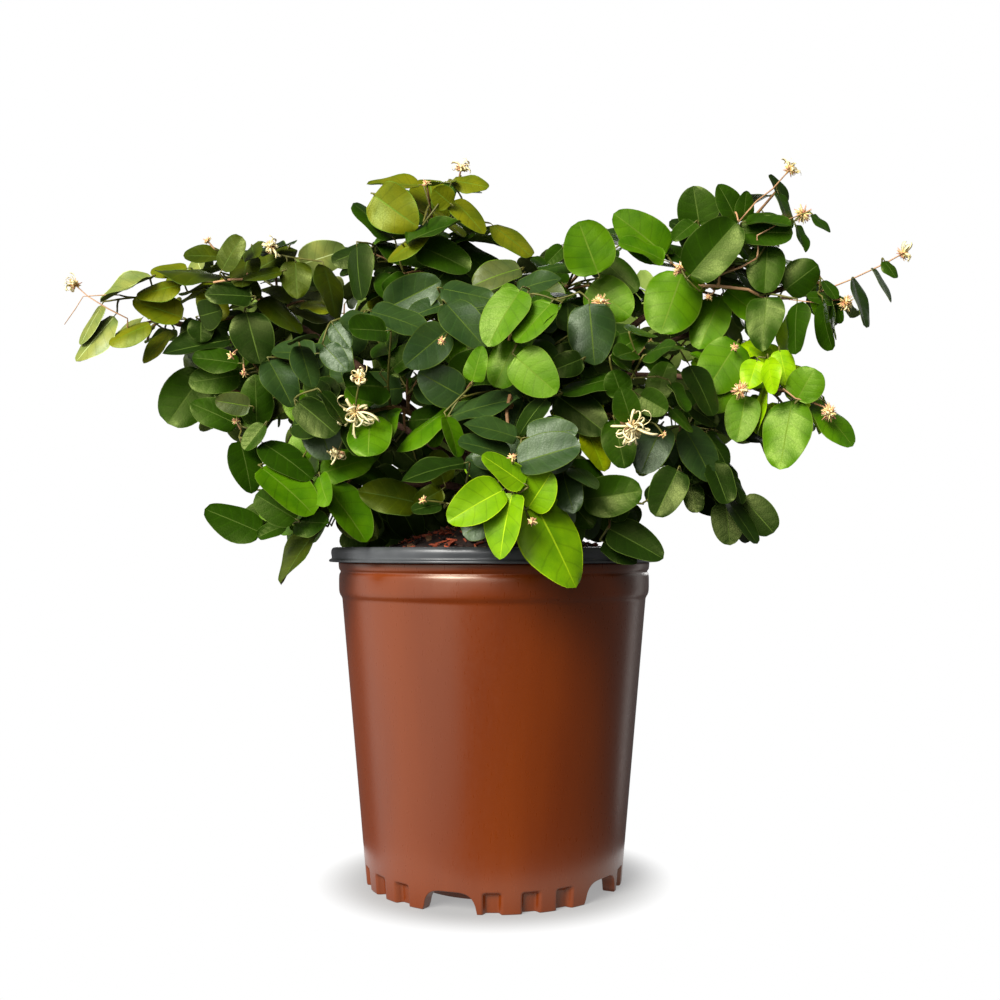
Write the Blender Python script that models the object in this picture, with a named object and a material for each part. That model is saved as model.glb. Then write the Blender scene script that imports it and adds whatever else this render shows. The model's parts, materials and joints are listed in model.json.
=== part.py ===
"""A young evergreen fringe-flower shrub in a brown nursery pot.

Blender script, in metres, +Z up. The origin is the centre of the pot's flat underside, and -Y is the front.
The shrub is one short trunk, boughs that arch out of it, and a mass of leafy twigs at the tip of each
bough. Every bough and every mass is its own solid.
"""

import math
import random

import bmesh
import bpy
from mathutils import Vector
from mathutils.bvhtree import BVHTree

MM = 0.001
CLEAR = 0.3 * MM  # the gap between two solids that touch on the real plant
UP = Vector((0, 0, 1))

# The pot, a thin formed container
POT_SIDES = 36
WALL = 1.8 * MM
WALL_FOOT_RADIUS = 87.7 * MM
WALL_TOP_RADIUS = 104.0 * MM
WALL_TOP = 192.5 * MM
COLLAR_FOOT = 197.5 * MM
COLLAR_RADIUS = 106.3 * MM
GROOVE_HEIGHT = 211.3 * MM
GROOVE_RADIUS = 105.2 * MM
SHOULDER_RADIUS = 106.6 * MM
SHOULDER_TOP = 217.7 * MM

# Its underside: a flat pad, a raised channel round it, and a foot ring with arches and slots
FLOOR = 2.2 * MM
PAD_RADIUS = 56 * MM
CHANNEL_INNER = 60 * MM
CHANNEL_OUTER = 79.5 * MM
CHANNEL_HEIGHT = 14 * MM
ARCHES = 5
FIRST_ARCH_DEG = -18.5
ARCH_HALF_WIDTHS = (17.5 * MM, 16.0 * MM, 10.5 * MM)
ARCH_HEIGHTS = (-2 * MM, 8.0 * MM, 13.5 * MM)
SLOTS_PAST_ARCH_DEG = (18.0, 34.0, 49.0)
SLOT_HALF_WIDTHS = (5.2 * MM, 4.8 * MM, 3.2 * MM)
SLOT_HEIGHTS = (-2 * MM, 10.0 * MM, 13.0 * MM)
SLOT_FLOOR_RADIUS = 83.2 * MM
CUT_OUTER_RADIUS = 100 * MM

# The black rolled lip that sits on the wall
LIP_INNER = 103.9 * MM
LIP_RADIUS = 111.7 * MM
LIP_FLANGE_RADIUS = 112.9 * MM
LIP_FOOT = SHOULDER_TOP + CLEAR
LIP_TOP = 228 * MM

# The potting mix, mounded at the stem
MOUND = ((104.1, 212), (96, 217), (75, 226), (45, 237), (20, 242))
SOIL_TOP = MOUND[-1][1] * MM
KEEP_OUT = 1.5 * MM  # how far twigs keep from the pot and its mix
POT_CLEAR = 2.0 * MM  # how far the corners of leaves do

# The trunk
TRUNK_SIDES = 12
TRUNK_RINGS = 8
TRUNK_HEIGHT = 56 * MM
TRUNK_RADIUS = 8.4 * MM
TRUNK_TIP_RADIUS = 6.4 * MM
FLARE = 5.5 * MM
FLARE_HEIGHT = 9 * MM
FLARE_LOBES = 5
LOBE_DEPTH = 0.10
TRUNK_LEAN = Vector((-5, 3, 0)) * MM

# The boughs
BOUGH_SIDES = 6
BOUGH_STEPS = 5
BOUGH_TIP_RADIUS = 1.9 * MM
BOUGH_GIRTH = 2.7 * MM  # radius at the foot of a bough as long as GIRTH_LENGTH
GIRTH_LENGTH = 100 * MM
FORK_GIRTH = 0.8  # the most of its parent's radius that a fork's foot has
FORK_CLEAR = 1.4 * CLEAR
FORK_LEAN = 0.75  # how far a fork leans along its parent
ENTRY = 0.74  # where a bough ends, as a share of its mass's radius
ENTRY_STEP = 0.04
ENTRY_DEPTH = 5 * MM
DROOP = 0.16
KNEE = 0.36  # how far a limb keeps to its first direction, and to its last one, as a share of its reach
WRIST = 0.32

# Each mass of foliage: what its bough springs from and where along it, the middle of the mass, and its
# half-sizes, all in millimetres
MASSES = {
    "crest": ("trunk", 1.00, (-50, -18, 436), (64, 62, 58)),
    "upper_left": ("trunk", 0.86, (-166, -26, 402), (62, 60, 46)),
    "upper_right": ("trunk", 0.84, (148, -34, 422), (58, 58, 56)),
    "centre": ("trunk", 0.84, (8, -88, 346), (56, 58, 54)),
    "back_crest": ("trunk", 0.88, (-6, 88, 406), (78, 68, 62)),
    "front_left": ("trunk", 0.60, (-76, -82, 334), (58, 58, 60)),
    "front_right": ("trunk", 0.62, (84, -80, 326), (48, 56, 50)),
    "back_left": ("trunk", 0.62, (-142, 84, 356), (78, 72, 76)),
    "back_right": ("trunk", 0.60, (136, 86, 360), (78, 72, 76)),
    "low_left": ("trunk", 0.34, (-132, -48, 266), (60, 56, 58)),
    "low_front": ("trunk", 0.34, (10, -124, 258), (60, 50, 52)),
    "low_right": ("trunk", 0.36, (82, -84, 258), (42, 48, 40)),
    "low_back": ("trunk", 0.34, (-2, 138, 286), (86, 68, 58)),
    "crown": ("bough_crest", 0.46, (52, -16, 410), (56, 60, 50)),
    "tip_left": ("bough_upper_left", 0.66, (-238, -32, 384), (48, 46, 38)),
    "middle_left": ("bough_upper_left", 0.44, (-172, -26, 334), (62, 60, 42)),
    "tip_right": ("bough_upper_right", 0.70, (232, -42, 412), (54, 46, 50)),
    "outer_right": ("bough_upper_right", 0.54, (190, -46, 332), (56, 54, 58)),
    "hang_right": ("bough_upper_right", 0.36, (146, -34, 284), (54, 54, 56)),
}

# Leading shoots that end in a flower: where each one ends, in millimetres, and how long its petals are
LEADERS = {
    "crest": ((-22, -20, 484), 10),
    "tip_left": ((-273, -32, 400), 9),
    "tip_right": ((267, -42, 418), 10),
    "upper_right": ((196, -42, 474), 9),
    "front_left": ((-81, -120, 308), 13),
    "front_right": ((82, -124, 299), 14),
}
PETALS = 4
PETAL_TURN = 0.3  # of the angle between two petals
PETAL_SPREAD_DEG = 52
PETAL_RADIUS = 1.1 * MM
PETAL_FLATNESS = 0.6

# Twigs
FIRST_SEED = 2000
STEM_END = 0.70  # how far a mass's stem runs past its middle, as a share of the radius
STEM_DEPTH = 3 * MM
STEM_STEPS = 4
TWIG_STEPS = 2
TWIG_SIDES = 3
TWIG_TIP_RADIUS = 1.5 * MM
TWIG_GIRTH = 0.9  # the radius at a twig's foot, as a share of its stem's
TWIG_LEAST = 16 * MM
TWIGS_PER_MASS = 5
TWIG_REACH = 0.66
TWIG_LAG = 0.45  # how far back along the stem a twig starts from the place it reaches
TWIG_FEET = (0.12, 0.85)  # the shares of the stem between which twigs start
TWIG_LEAN = 0.5
TWIG_SHORTENS = 0.15
GOLDEN_TURN = math.radians(137.508)

# Leaves
LEAF_LENGTH = 54 * MM
LEAF_WIDTH = 42 * MM
LEAF_THICKNESS = 1.1 * MM
LEAF_SIZES = (0.92, 1.1)
LEAF_SHRINKS = 0.018  # with each further try
LEAF_TRIES = 16
LEAF_SPACING = 10 * MM
LEAF_TIP_SPACING = 7 * MM
LEAF_FIRST = 6 * MM  # the bare foot of a twig
LEAF_SET_BACK = 1.0 * MM
LEAF_SINK = 0.3 * MM
LEAF_ANGLE_DEG = 58
LEAF_SPREAD_DEG = 14
LEAF_SPREAD_STEP_DEG = 4
LEAF_HANG = (0.1, 0.35)
LEAF_TILT = 0.4
LEAF_OUTLINE = ((0.30, 0.47), (0.72, 0.40))  # shares of the length, and of the width to each side
LEAF_FOLD = 0.09
LEAF_TIP_DROOP = 0.05
LEAF_OVERHANG = 1.12  # how far out of its mass's ellipsoid a leaf may reach
FACING_PLANE = 20 * MM
FACING_HEIGHT = 300 * MM
FACING_WEIGHTS = (0.4, 1.8, 0.7)
FACING_UP = 0.4

# The union of a mass
UNION_KEEPS = 0.8  # the least share of its pieces' volume that a sound union has
TOUCHING = 0.0002 * MM


def clear_scene():
    for thing in list(bpy.data.objects):
        bpy.data.objects.remove(thing, do_unlink=True)


def plain_material(name, colour, roughness):
    material = bpy.data.materials.new(name)
    material.use_nodes = True
    shader = material.node_tree.nodes["Principled BSDF"]
    shader.inputs["Base Color"].default_value = (*colour, 1)
    shader.inputs["Roughness"].default_value = roughness
    shader.inputs["Metallic"].default_value = 0.0
    return material


def add_object(name, mesh, material):
    mesh.name = name
    mesh.materials.append(material)
    thing = bpy.data.objects.new(name, mesh)
    bpy.context.scene.collection.objects.link(thing)
    return thing


def bearing(degrees):
    """The level direction at an azimuth: 0 is the front, 90 the right."""
    angle = math.radians(degrees)
    return Vector((math.sin(angle), -math.cos(angle), 0))


def finish_mesh(bm, name):
    bmesh.ops.recalc_face_normals(bm, faces=bm.faces)
    mesh = bpy.data.meshes.new(name)
    bm.to_mesh(mesh)
    bm.free()
    return mesh


def turned_mesh(name, profile):
    """A closed (radius, height) outline turned about the Z axis."""
    bm = bmesh.new()
    turns = [bearing(360 * i / POT_SIDES) for i in range(POT_SIDES)]
    rings = []
    for radius, height in profile:
        spokes = turns if radius > 0 else [Vector()]
        rings.append([bm.verts.new(spoke * radius + UP * height) for spoke in spokes])
    for low, high in zip(rings, rings[1:] + rings[:1]):
        if len(low) == len(high) == 1:
            continue
        for i in range(POT_SIDES):
            j = (i + 1) % POT_SIDES
            corners = [low[i % len(low)], low[j % len(low)], high[j % len(high)], high[i % len(high)]]
            bm.faces.new(list(dict.fromkeys(corners)))
    return finish_mesh(bm, name)


def wall_radius(height):
    """The outer radius of the straight part of the pot's wall."""
    return WALL_FOOT_RADIUS + (WALL_TOP_RADIUS - WALL_FOOT_RADIUS) * height / WALL_TOP


def pot_profile():
    inner_floor = CHANNEL_HEIGHT + FLOOR
    return [
        (0, 0), (PAD_RADIUS, 0), (CHANNEL_INNER, CHANNEL_HEIGHT), (CHANNEL_OUTER, CHANNEL_HEIGHT),
        (CHANNEL_OUTER, 0), (WALL_FOOT_RADIUS, 0), (WALL_TOP_RADIUS, WALL_TOP),
        (COLLAR_RADIUS - 0.3 * MM, COLLAR_FOOT), (COLLAR_RADIUS, (COLLAR_FOOT + GROOVE_HEIGHT) / 2),
        (COLLAR_RADIUS - 0.3 * MM, GROOVE_HEIGHT - 1.3 * MM), (GROOVE_RADIUS, GROOVE_HEIGHT),
        (SHOULDER_RADIUS - 0.8 * MM, GROOVE_HEIGHT + 1.5 * MM), (SHOULDER_RADIUS, SHOULDER_TOP),
        (COLLAR_RADIUS - WALL, SHOULDER_TOP), (COLLAR_RADIUS - WALL, COLLAR_FOOT + 2 * MM),
        (WALL_TOP_RADIUS - WALL, WALL_TOP), (wall_radius(inner_floor) - WALL, inner_floor),
        (CHANNEL_INNER + 1.5 * MM, inner_floor), (PAD_RADIUS + 1.5 * MM, FLOOR), (0, FLOOR),
    ]


def add_radial_prism(bm, degrees, half_widths, heights, inner_radius):
    """A tunnel-shaped block that runs outward through the foot ring."""
    out = bearing(degrees)
    side = bearing(degrees + 90)
    outline = [(width, height) for width, height in zip(half_widths, heights)]
    outline += [(-width, height) for width, height in reversed(outline)]
    near, far = (
        [bm.verts.new(out * reach + side * across + UP * height) for across, height in outline]
        for reach in (inner_radius, CUT_OUTER_RADIUS)
    )
    bm.faces.new(near)
    bm.faces.new(reversed(far))
    for i in range(len(outline)):
        j = (i + 1) % len(outline)
        bm.faces.new([near[j], near[i], far[i], far[j]])


def build_pot(material):
    pot = add_object("pot", turned_mesh("pot", pot_profile()), material)
    bm = bmesh.new()
    for arch in range(ARCHES):
        middle = FIRST_ARCH_DEG + 360 * arch / ARCHES
        add_radial_prism(bm, middle, ARCH_HALF_WIDTHS, ARCH_HEIGHTS, CHANNEL_OUTER - 3 * MM)
        for past in SLOTS_PAST_ARCH_DEG:
            add_radial_prism(bm, middle + past, SLOT_HALF_WIDTHS, SLOT_HEIGHTS, SLOT_FLOOR_RADIUS)
    cutter = add_object("foot_cuts", finish_mesh(bm, "foot_cuts"), material)
    cutter.hide_render = True
    cutter.display_type = "WIRE"
    cut = pot.modifiers.new("foot_cuts", "BOOLEAN")
    cut.operation = "DIFFERENCE"
    cut.object = cutter
    cut.solver = "EXACT"


def build_lip(material):
    profile = [
        (LIP_INNER, LIP_FOOT), (LIP_FLANGE_RADIUS, LIP_FOOT), (LIP_FLANGE_RADIUS, LIP_FOOT + 1.8 * MM),
        (LIP_RADIUS, LIP_FOOT + 3 * MM), (LIP_RADIUS, LIP_TOP - 2 * MM), (LIP_RADIUS - 1.6 * MM, LIP_TOP),
        (LIP_INNER + 1.2 * MM, LIP_TOP), (LIP_INNER, LIP_TOP - 1.5 * MM),
    ]
    add_object("pot_lip", turned_mesh("pot_lip", profile), material)


def build_soil(material):
    foot = CHANNEL_HEIGHT + FLOOR + CLEAR
    inset = WALL + CLEAR
    profile = [
        (0, FLOOR + CLEAR), (PAD_RADIUS + 1.2 * MM, FLOOR + CLEAR), (CHANNEL_INNER + 1.2 * MM, foot),
        (wall_radius(foot) - inset, foot), (WALL_TOP_RADIUS - inset, WALL_TOP),
        (COLLAR_RADIUS - inset, COLLAR_FOOT + 3 * MM),
    ]
    profile += [(radius * MM, height * MM) for radius, height in MOUND]
    profile += [(0, SOIL_TOP)]
    add_object("soil", turned_mesh("soil", profile), material)


def mound_height(radius):
    """How high the potting mix or the lip stands at a distance from the axis."""
    if radius > MOUND[0][0] * MM:
        return LIP_TOP
    for (outer, low), (inner, high) in zip(MOUND, MOUND[1:]):
        if radius > inner * MM:
            share = (outer * MM - radius) / ((outer - inner) * MM)
            return max(low + (high - low) * share, LIP_TOP / MM) * MM
    return SOIL_TOP


def keep_out_tree():
    """The pot, lip and mound grown by a little, which no twig or leaf may touch."""
    radius = LIP_FLANGE_RADIUS + KEEP_OUT
    profile = [(0, -KEEP_OUT), (radius, -KEEP_OUT), (radius, LIP_TOP + KEEP_OUT)]
    profile += [(r * MM, mound_height(r * MM) + KEEP_OUT) for r, _ in MOUND[1:]]
    profile += [(0, SOIL_TOP + KEEP_OUT)]
    mesh = turned_mesh("keep_out", profile)
    tree = mesh_tree(mesh)
    bpy.data.meshes.remove(mesh)
    return tree


def mesh_tree(mesh):
    bm = bmesh.new()
    bm.from_mesh(mesh)
    tree = BVHTree.FromBMesh(bm)
    bm.free()
    return tree


def curve_points(start, heading, arrival, end, steps):
    """Points on the smooth curve that leaves start along heading and reaches end along arrival."""
    reach = (end - start).length
    knee = start + heading * reach * KNEE
    wrist = end - arrival * reach * WRIST
    points = []
    for i in range(steps + 1):
        t = i / steps
        points.append(
            start * (1 - t) ** 3 + knee * 3 * t * (1 - t) ** 2 + wrist * 3 * t * t * (1 - t) + end * t ** 3
        )
    return points


class Limb:
    """A tapering limb: the points along its middle, the radius at each, and the face of its foot."""

    def __init__(self, points, radii, foot_normal):
        self.points = points
        self.radii = radii
        self.foot_normal = foot_normal

    def at(self, share):
        """The point, direction and radius at a share of the limb's length."""
        lengths = [(b - a).length for a, b in zip(self.points, self.points[1:])]
        left = share * sum(lengths)
        for i, length in enumerate(lengths):
            if left <= length or i == len(lengths) - 1:
                t = left / length
                along = (self.points[i + 1] - self.points[i]).normalized()
                radius = self.radii[i] + (self.radii[i + 1] - self.radii[i]) * t
                return self.points[i].lerp(self.points[i + 1], t), along, radius
            left -= length

    def length(self):
        return sum((b - a).length for a, b in zip(self.points, self.points[1:]))

    def cut_at(self, share):
        """The part of the limb from its foot to a share of its length."""
        left = share * self.length()
        kept = 1
        while kept < len(self.points) - 1:
            left -= (self.points[kept] - self.points[kept - 1]).length
            if left <= 0:
                break
            kept += 1
        end, _, radius = self.at(share)
        return Limb(self.points[:kept] + [end], self.radii[:kept] + [radius], self.foot_normal)


def tapering(foot, tip, steps):
    return [foot + (tip - foot) * i / steps for i in range(steps + 1)]


def limb_mesh(name, limb, sides, swell=0.0, lobes=None):
    """The closed tube of a limb; lobes, when given, returns a radius factor for a ring and an angle."""
    bm = bmesh.new()
    points = limb.points
    rings = []
    side = None
    for i, point in enumerate(points):
        along = (points[min(i + 1, len(points) - 1)] - points[max(i - 1, 0)]).normalized()
        side = side or along.orthogonal()
        side = (side - along * side.dot(along)).normalized()
        up = along.cross(side)
        ring = []
        for k in range(sides):
            angle = 2 * math.pi * k / sides
            radius = limb.radii[i] * (lobes(i, angle) if lobes else 1) + swell
            corner = point + (side * math.cos(angle) + up * math.sin(angle)) * radius
            if i == 0 and limb.foot_normal is not None:
                lift = (corner - point).dot(limb.foot_normal) / along.dot(limb.foot_normal)
                corner -= along * lift
            ring.append(bm.verts.new(corner))
        rings.append(ring)
    for low, high in zip(rings, rings[1:]):
        for k in range(sides):
            j = (k + 1) % sides
            bm.faces.new([low[k], low[j], high[j], high[k]])
    bm.faces.new(list(reversed(rings[0])))
    bm.faces.new(rings[-1])
    return finish_mesh(bm, name)


def limb_tree(limb, sides, swell=0.0):
    mesh = limb_mesh("trial", limb, sides, swell)
    tree = mesh_tree(mesh)
    bpy.data.meshes.remove(mesh)
    return tree


def make_trunk():
    foot = Vector((0, 0, SOIL_TOP + CLEAR))
    points = []
    radii = []
    for i in range(TRUNK_RINGS + 1):
        t = (i / TRUNK_RINGS) ** 1.5
        points.append(foot + UP * TRUNK_HEIGHT * t + TRUNK_LEAN * t * t)
        taper = TRUNK_RADIUS + (TRUNK_TIP_RADIUS - TRUNK_RADIUS) * t
        radii.append(taper + FLARE * math.exp(-TRUNK_HEIGHT * t / FLARE_HEIGHT))
    return Limb(points, radii, UP)


def trunk_lobes(ring, angle):
    """Root ridges at the foot, which fade up the trunk."""
    fade = max(0, 1 - ring / (TRUNK_RINGS / 2))
    return 1 + LOBE_DEPTH * fade * math.cos(FLARE_LOBES * angle)


def shell_radius(sizes, direction):
    """How far a mass reaches from its middle in a direction."""
    return 1 / math.sqrt(sum((direction[i] / sizes[i]) ** 2 for i in range(3)))


class Space:
    """The room of one mass: an ellipsoid, cut flat where it meets each neighbour."""

    def __init__(self, middle, sizes):
        self.middle = Vector(middle) * MM
        self.sizes = Vector(sizes) * MM
        self.weight = (self.sizes.x * self.sizes.y * self.sizes.z) ** (2 / 3)
        self.others = []

    def depth(self, point):
        """How far inside the flat sides a point is."""
        own = (point - self.middle).length_squared - self.weight
        depth = 1.0
        for other in self.others:
            far = (point - other.middle).length_squared - other.weight
            depth = min(depth, (far - own) / (2 * (other.middle - self.middle).length))
        return depth

    def share(self, point):
        """0 in the middle, 1 on the ellipsoid."""
        away = point - self.middle
        return math.sqrt(sum((away[i] / self.sizes[i]) ** 2 for i in range(3)))

    def holds(self, point, margin, stretch=1.0):
        return self.share(point) <= stretch and self.depth(point) >= margin


def make_spaces():
    spaces = {name: Space(middle, sizes) for name, (_, _, middle, sizes) in MASSES.items()}
    for space in spaces.values():
        space.others = [other for other in spaces.values() if other is not space]
    return spaces


def grow_bough(parent, share, space):
    """A bough from its parent's flank, or tip, to the near side of its mass."""
    point, along, radius = parent.at(share)
    if share >= 1:
        out = along
        start = point + along * CLEAR
        heading = along
    else:
        out = space.middle - point
        out = (out - along * out.dot(along)).normalized()
        start = point + out * (radius + FORK_CLEAR)
        heading = (out + along * FORK_LEAN).normalized()
    inward = (space.middle - start).normalized()
    entry = ENTRY
    tip = space.middle - inward * shell_radius(space.sizes, inward) * entry
    while space.depth(tip) < ENTRY_DEPTH and entry > ENTRY_STEP:
        entry -= ENTRY_STEP
        tip = space.middle - inward * shell_radius(space.sizes, inward) * entry
    arrival = (inward - UP * DROOP).normalized()
    points = curve_points(start, heading, arrival, tip, BOUGH_STEPS)
    length = (tip - start).length
    foot_radius = BOUGH_TIP_RADIUS + (BOUGH_GIRTH - BOUGH_TIP_RADIUS) * length / GIRTH_LENGTH
    foot_radius = min(foot_radius, radius * FORK_GIRTH)
    return Limb(points, tapering(foot_radius, BOUGH_TIP_RADIUS, BOUGH_STEPS), out)


def grow_limbs(spaces):
    limbs = {"trunk": make_trunk()}
    for name, (parent, share, _, _) in MASSES.items():
        limbs["bough_" + name] = grow_bough(limbs[parent], share, spaces[name])
    return limbs


def make_stem(name, bough, space):
    """The stem that carries a mass on from the tip of its bough, to its flower where it has one."""
    point, along, radius = bough.at(1)
    start = point + along * CLEAR
    inward = (space.middle - start).normalized()
    if name in LEADERS:
        end = Vector(LEADERS[name][0]) * MM
    else:
        end = space.middle + inward * shell_radius(space.sizes, inward) * STEM_END
    while space.depth(end) < STEM_DEPTH:
        end = end.lerp(space.middle, 0.05)
    arrival = ((end - start).normalized() + UP * 0.1).normalized()
    points = curve_points(start, along, arrival, end, STEM_STEPS)
    return Limb(points, tapering(radius, TWIG_TIP_RADIUS, STEM_STEPS), along)


def petal_meshes(stem, length):
    """The strap petals of a flower at the end of a stem, as slim pyramids with their feet in its tip."""
    tip, along, radius = stem.at(1)
    foot = tip - along * radius
    side = along.orthogonal().normalized()
    up = along.cross(side)
    spread = math.radians(PETAL_SPREAD_DEG)
    meshes = []
    for i in range(PETALS):
        turn = 2 * math.pi * (i + PETAL_TURN) / PETALS
        out = side * math.cos(turn) + up * math.sin(turn)
        heading = along * math.cos(spread) + out * math.sin(spread)
        across = heading.cross(out).normalized() * PETAL_RADIUS
        flat = heading.cross(across).normalized() * PETAL_RADIUS * PETAL_FLATNESS
        corners = [foot + across, foot - across, foot + flat, foot + heading * (length + radius)]
        meshes.append(closed_mesh("petal", corners, [(0, 1, 2), (0, 3, 1), (1, 3, 2), (2, 3, 0)]))
    return meshes


def make_side_twig(stem, space, index, rng):
    """One side twig, and the share of the stem where it starts. The ends spread evenly round the mass."""
    height = 1 - (2 * index + 1) / TWIGS_PER_MASS
    turn = GOLDEN_TURN * index + rng.uniform(-0.3, 0.3)
    level = math.sqrt(1 - height * height)
    direction = Vector((level * math.cos(turn), level * math.sin(turn), height))
    target = space.middle + direction * shell_radius(space.sizes, direction) * TWIG_REACH
    whole = stem.points[-1] - stem.points[0]
    ahead = (target - stem.points[0]).dot(whole.normalized()) / whole.length
    first, last = TWIG_FEET
    share = min(last, max(first, ahead - TWIG_LAG)) + rng.uniform(-0.05, 0.05)
    point, along, radius = stem.at(share)
    out = (target - point).normalized()
    heading = (out + along * TWIG_LEAN + UP * 0.1).normalized()
    arrival = (out - UP * DROOP).normalized()
    points = curve_points(point, heading, arrival, target, TWIG_STEPS)
    radii = tapering(radius * TWIG_GIRTH, TWIG_TIP_RADIUS, TWIG_STEPS)
    return Limb(points, radii, None), share


def cut_to_space(twig, space, barriers):
    """The longest part of a twig, from its foot, that keeps to its space and clear of the limbs."""
    while twig.length() > TWIG_LEAST:
        inside = all(space.depth(point) > twig.radii[0] + CLEAR for point in twig.points)
        if inside and not touches(limb_tree(twig, TWIG_SIDES), barriers):
            return twig
        shorter = [point.lerp(twig.points[0], TWIG_SHORTENS) for point in twig.points]
        twig = Limb(shorter, twig.radii, None)
    return None


def touches(tree, others):
    return any(tree.overlap(other) for other in others)


def leaf_corners(root, axis, normal, length, width):
    """Six corners round the rim, from the root clockwise, then the top and the bottom of the middle."""
    side = axis.cross(normal)
    (low, low_half), (high, high_half) = LEAF_OUTLINE
    fold = LEAF_FOLD * width
    droop = LEAF_TIP_DROOP * length
    return [
        root,
        root + axis * length * low + side * width * low_half + normal * fold,
        root + axis * length * high + side * width * high_half + normal * fold,
        root + axis * length - normal * droop,
        root + axis * length * high - side * width * high_half + normal * fold,
        root + axis * length * low - side * width * low_half + normal * fold,
        root + axis * length * 0.5 + normal * LEAF_THICKNESS / 2,
        root + axis * length * 0.5 - normal * LEAF_THICKNESS / 2,
    ]


LEAF_FACES = [(i, (i + 1) % 6, 6) for i in range(6)] + [((i + 1) % 6, i, 7) for i in range(6)]


def facing(point):
    """The way a leaf there likes to face: out from the middle plane of the crown, and up."""
    away = point - Vector((0, FACING_PLANE, FACING_HEIGHT))
    away = Vector([part * weight for part, weight in zip(away, FACING_WEIGHTS)])
    return (away.normalized() + UP * FACING_UP).normalized()


def fit_leaf(point, along, side_sign, space, barriers, rng):
    """A leaf at a point of a twig that keeps to its space and touches nothing, or None."""
    for attempt in range(LEAF_TRIES):
        jitter = Vector([rng.uniform(-LEAF_TILT, LEAF_TILT) for _ in range(3)])
        normal = (facing(point) + jitter).normalized()
        across = along.cross(normal).normalized() * (side_sign or 1)
        spread = LEAF_SPREAD_DEG + LEAF_SPREAD_STEP_DEG * attempt
        angle = math.radians(LEAF_ANGLE_DEG * abs(side_sign) + rng.uniform(-spread, spread))
        axis = along * math.cos(angle) + across * math.sin(angle) - UP * rng.uniform(*LEAF_HANG)
        axis = axis.normalized()
        normal = (normal - axis * normal.dot(axis)).normalized()
        size = rng.uniform(*LEAF_SIZES) * (1 - LEAF_SHRINKS * attempt)
        corners = leaf_corners(point - axis * LEAF_SINK, axis, normal, LEAF_LENGTH * size, LEAF_WIDTH * size)
        if not all(space.holds(corner, CLEAR, LEAF_OVERHANG) for corner in corners):
            continue
        if any(hidden_in_pot(corner) for corner in corners):
            continue
        tree = BVHTree.FromPolygons(corners, LEAF_FACES)
        if not touches(tree, barriers):
            return corners, tree
    return None


def hidden_in_pot(point):
    radius = math.hypot(point.x, point.y)
    return radius < LIP_FLANGE_RADIUS + POT_CLEAR and point.z < mound_height(radius) + POT_CLEAR


def leaf_places(twig):
    """Where leaves may sit, as (share, side): one at a twig's tip, then alternate ones to its foot."""
    length = twig.length()
    places = [(1 - LEAF_SET_BACK / length, 0)]
    back = LEAF_TIP_SPACING
    sign = 1
    while back < length - LEAF_FIRST:
        places.append((1 - back / length, sign))
        sign = -sign
        back += LEAF_SPACING
    return places


def closed_mesh(name, corners, faces):
    bm = bmesh.new()
    verts = [bm.verts.new(corner) for corner in corners]
    for face in faces:
        bm.faces.new([verts[i] for i in face])
    return finish_mesh(bm, name)


def keep_largest_shell(mesh):
    """Drops loose scraps and fills sealed hollows, both of which are the smaller shells."""
    bm = bmesh.new()
    bm.from_mesh(mesh)
    bmesh.ops.triangulate(bm, faces=bm.faces)
    left = set(bm.faces)
    shells = []
    while left:
        stack = [left.pop()]
        shell = []
        while stack:
            face = stack.pop()
            shell.append(face)
            near = {other for edge in face.edges for other in edge.link_faces if other in left}
            left -= near
            stack.extend(near)
        shells.append(shell)
    largest = max(shells, key=len)
    for shell in shells:
        if shell is not largest:
            bmesh.ops.delete(bm, geom=shell, context="FACES")
    bmesh.ops.delete(bm, geom=[vertex for vertex in bm.verts if not vertex.link_faces], context="VERTS")
    bm.to_mesh(mesh)
    bm.free()


def sound_volume(mesh):
    """The volume inside a mesh, or 0 where it isn't closed or touches itself along an edge."""
    bm = bmesh.new()
    bm.from_mesh(mesh)
    bmesh.ops.triangulate(bm, faces=bm.faces)
    volume = bm.calc_volume()
    bmesh.ops.remove_doubles(bm, verts=bm.verts, dist=TOUCHING)
    sound = all(edge.is_manifold for edge in bm.edges)
    bm.free()
    return volume if sound else 0


def fuse(name, meshes):
    """Joins a stem, the first mesh, with its twigs and leaves into one solid, or returns None."""
    least_volume = UNION_KEEPS * sum(sound_volume(mesh) for mesh in meshes)
    collection = bpy.data.collections.new(name + "_pieces")
    bpy.context.scene.collection.children.link(collection)
    pieces = [bpy.data.objects.new(name + "_piece", mesh) for mesh in meshes]
    for piece in pieces:
        collection.objects.link(piece)
    stem = pieces[0].copy()
    bpy.context.scene.collection.objects.link(stem)
    collection.objects.unlink(pieces[0])
    union = stem.modifiers.new("union", "BOOLEAN")
    union.operation = "UNION"
    union.operand_type = "COLLECTION"
    union.collection = collection
    sound = None
    for solver in ("EXACT", "MANIFOLD"):
        union.solver = solver
        graph = bpy.context.evaluated_depsgraph_get()
        fused = bpy.data.meshes.new_from_object(stem.evaluated_get(graph))
        if sound_volume(fused) > least_volume:
            sound = fused
            break
    for piece in pieces + [stem]:
        bpy.data.objects.remove(piece, do_unlink=True)
    bpy.data.collections.remove(collection)
    return sound


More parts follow.
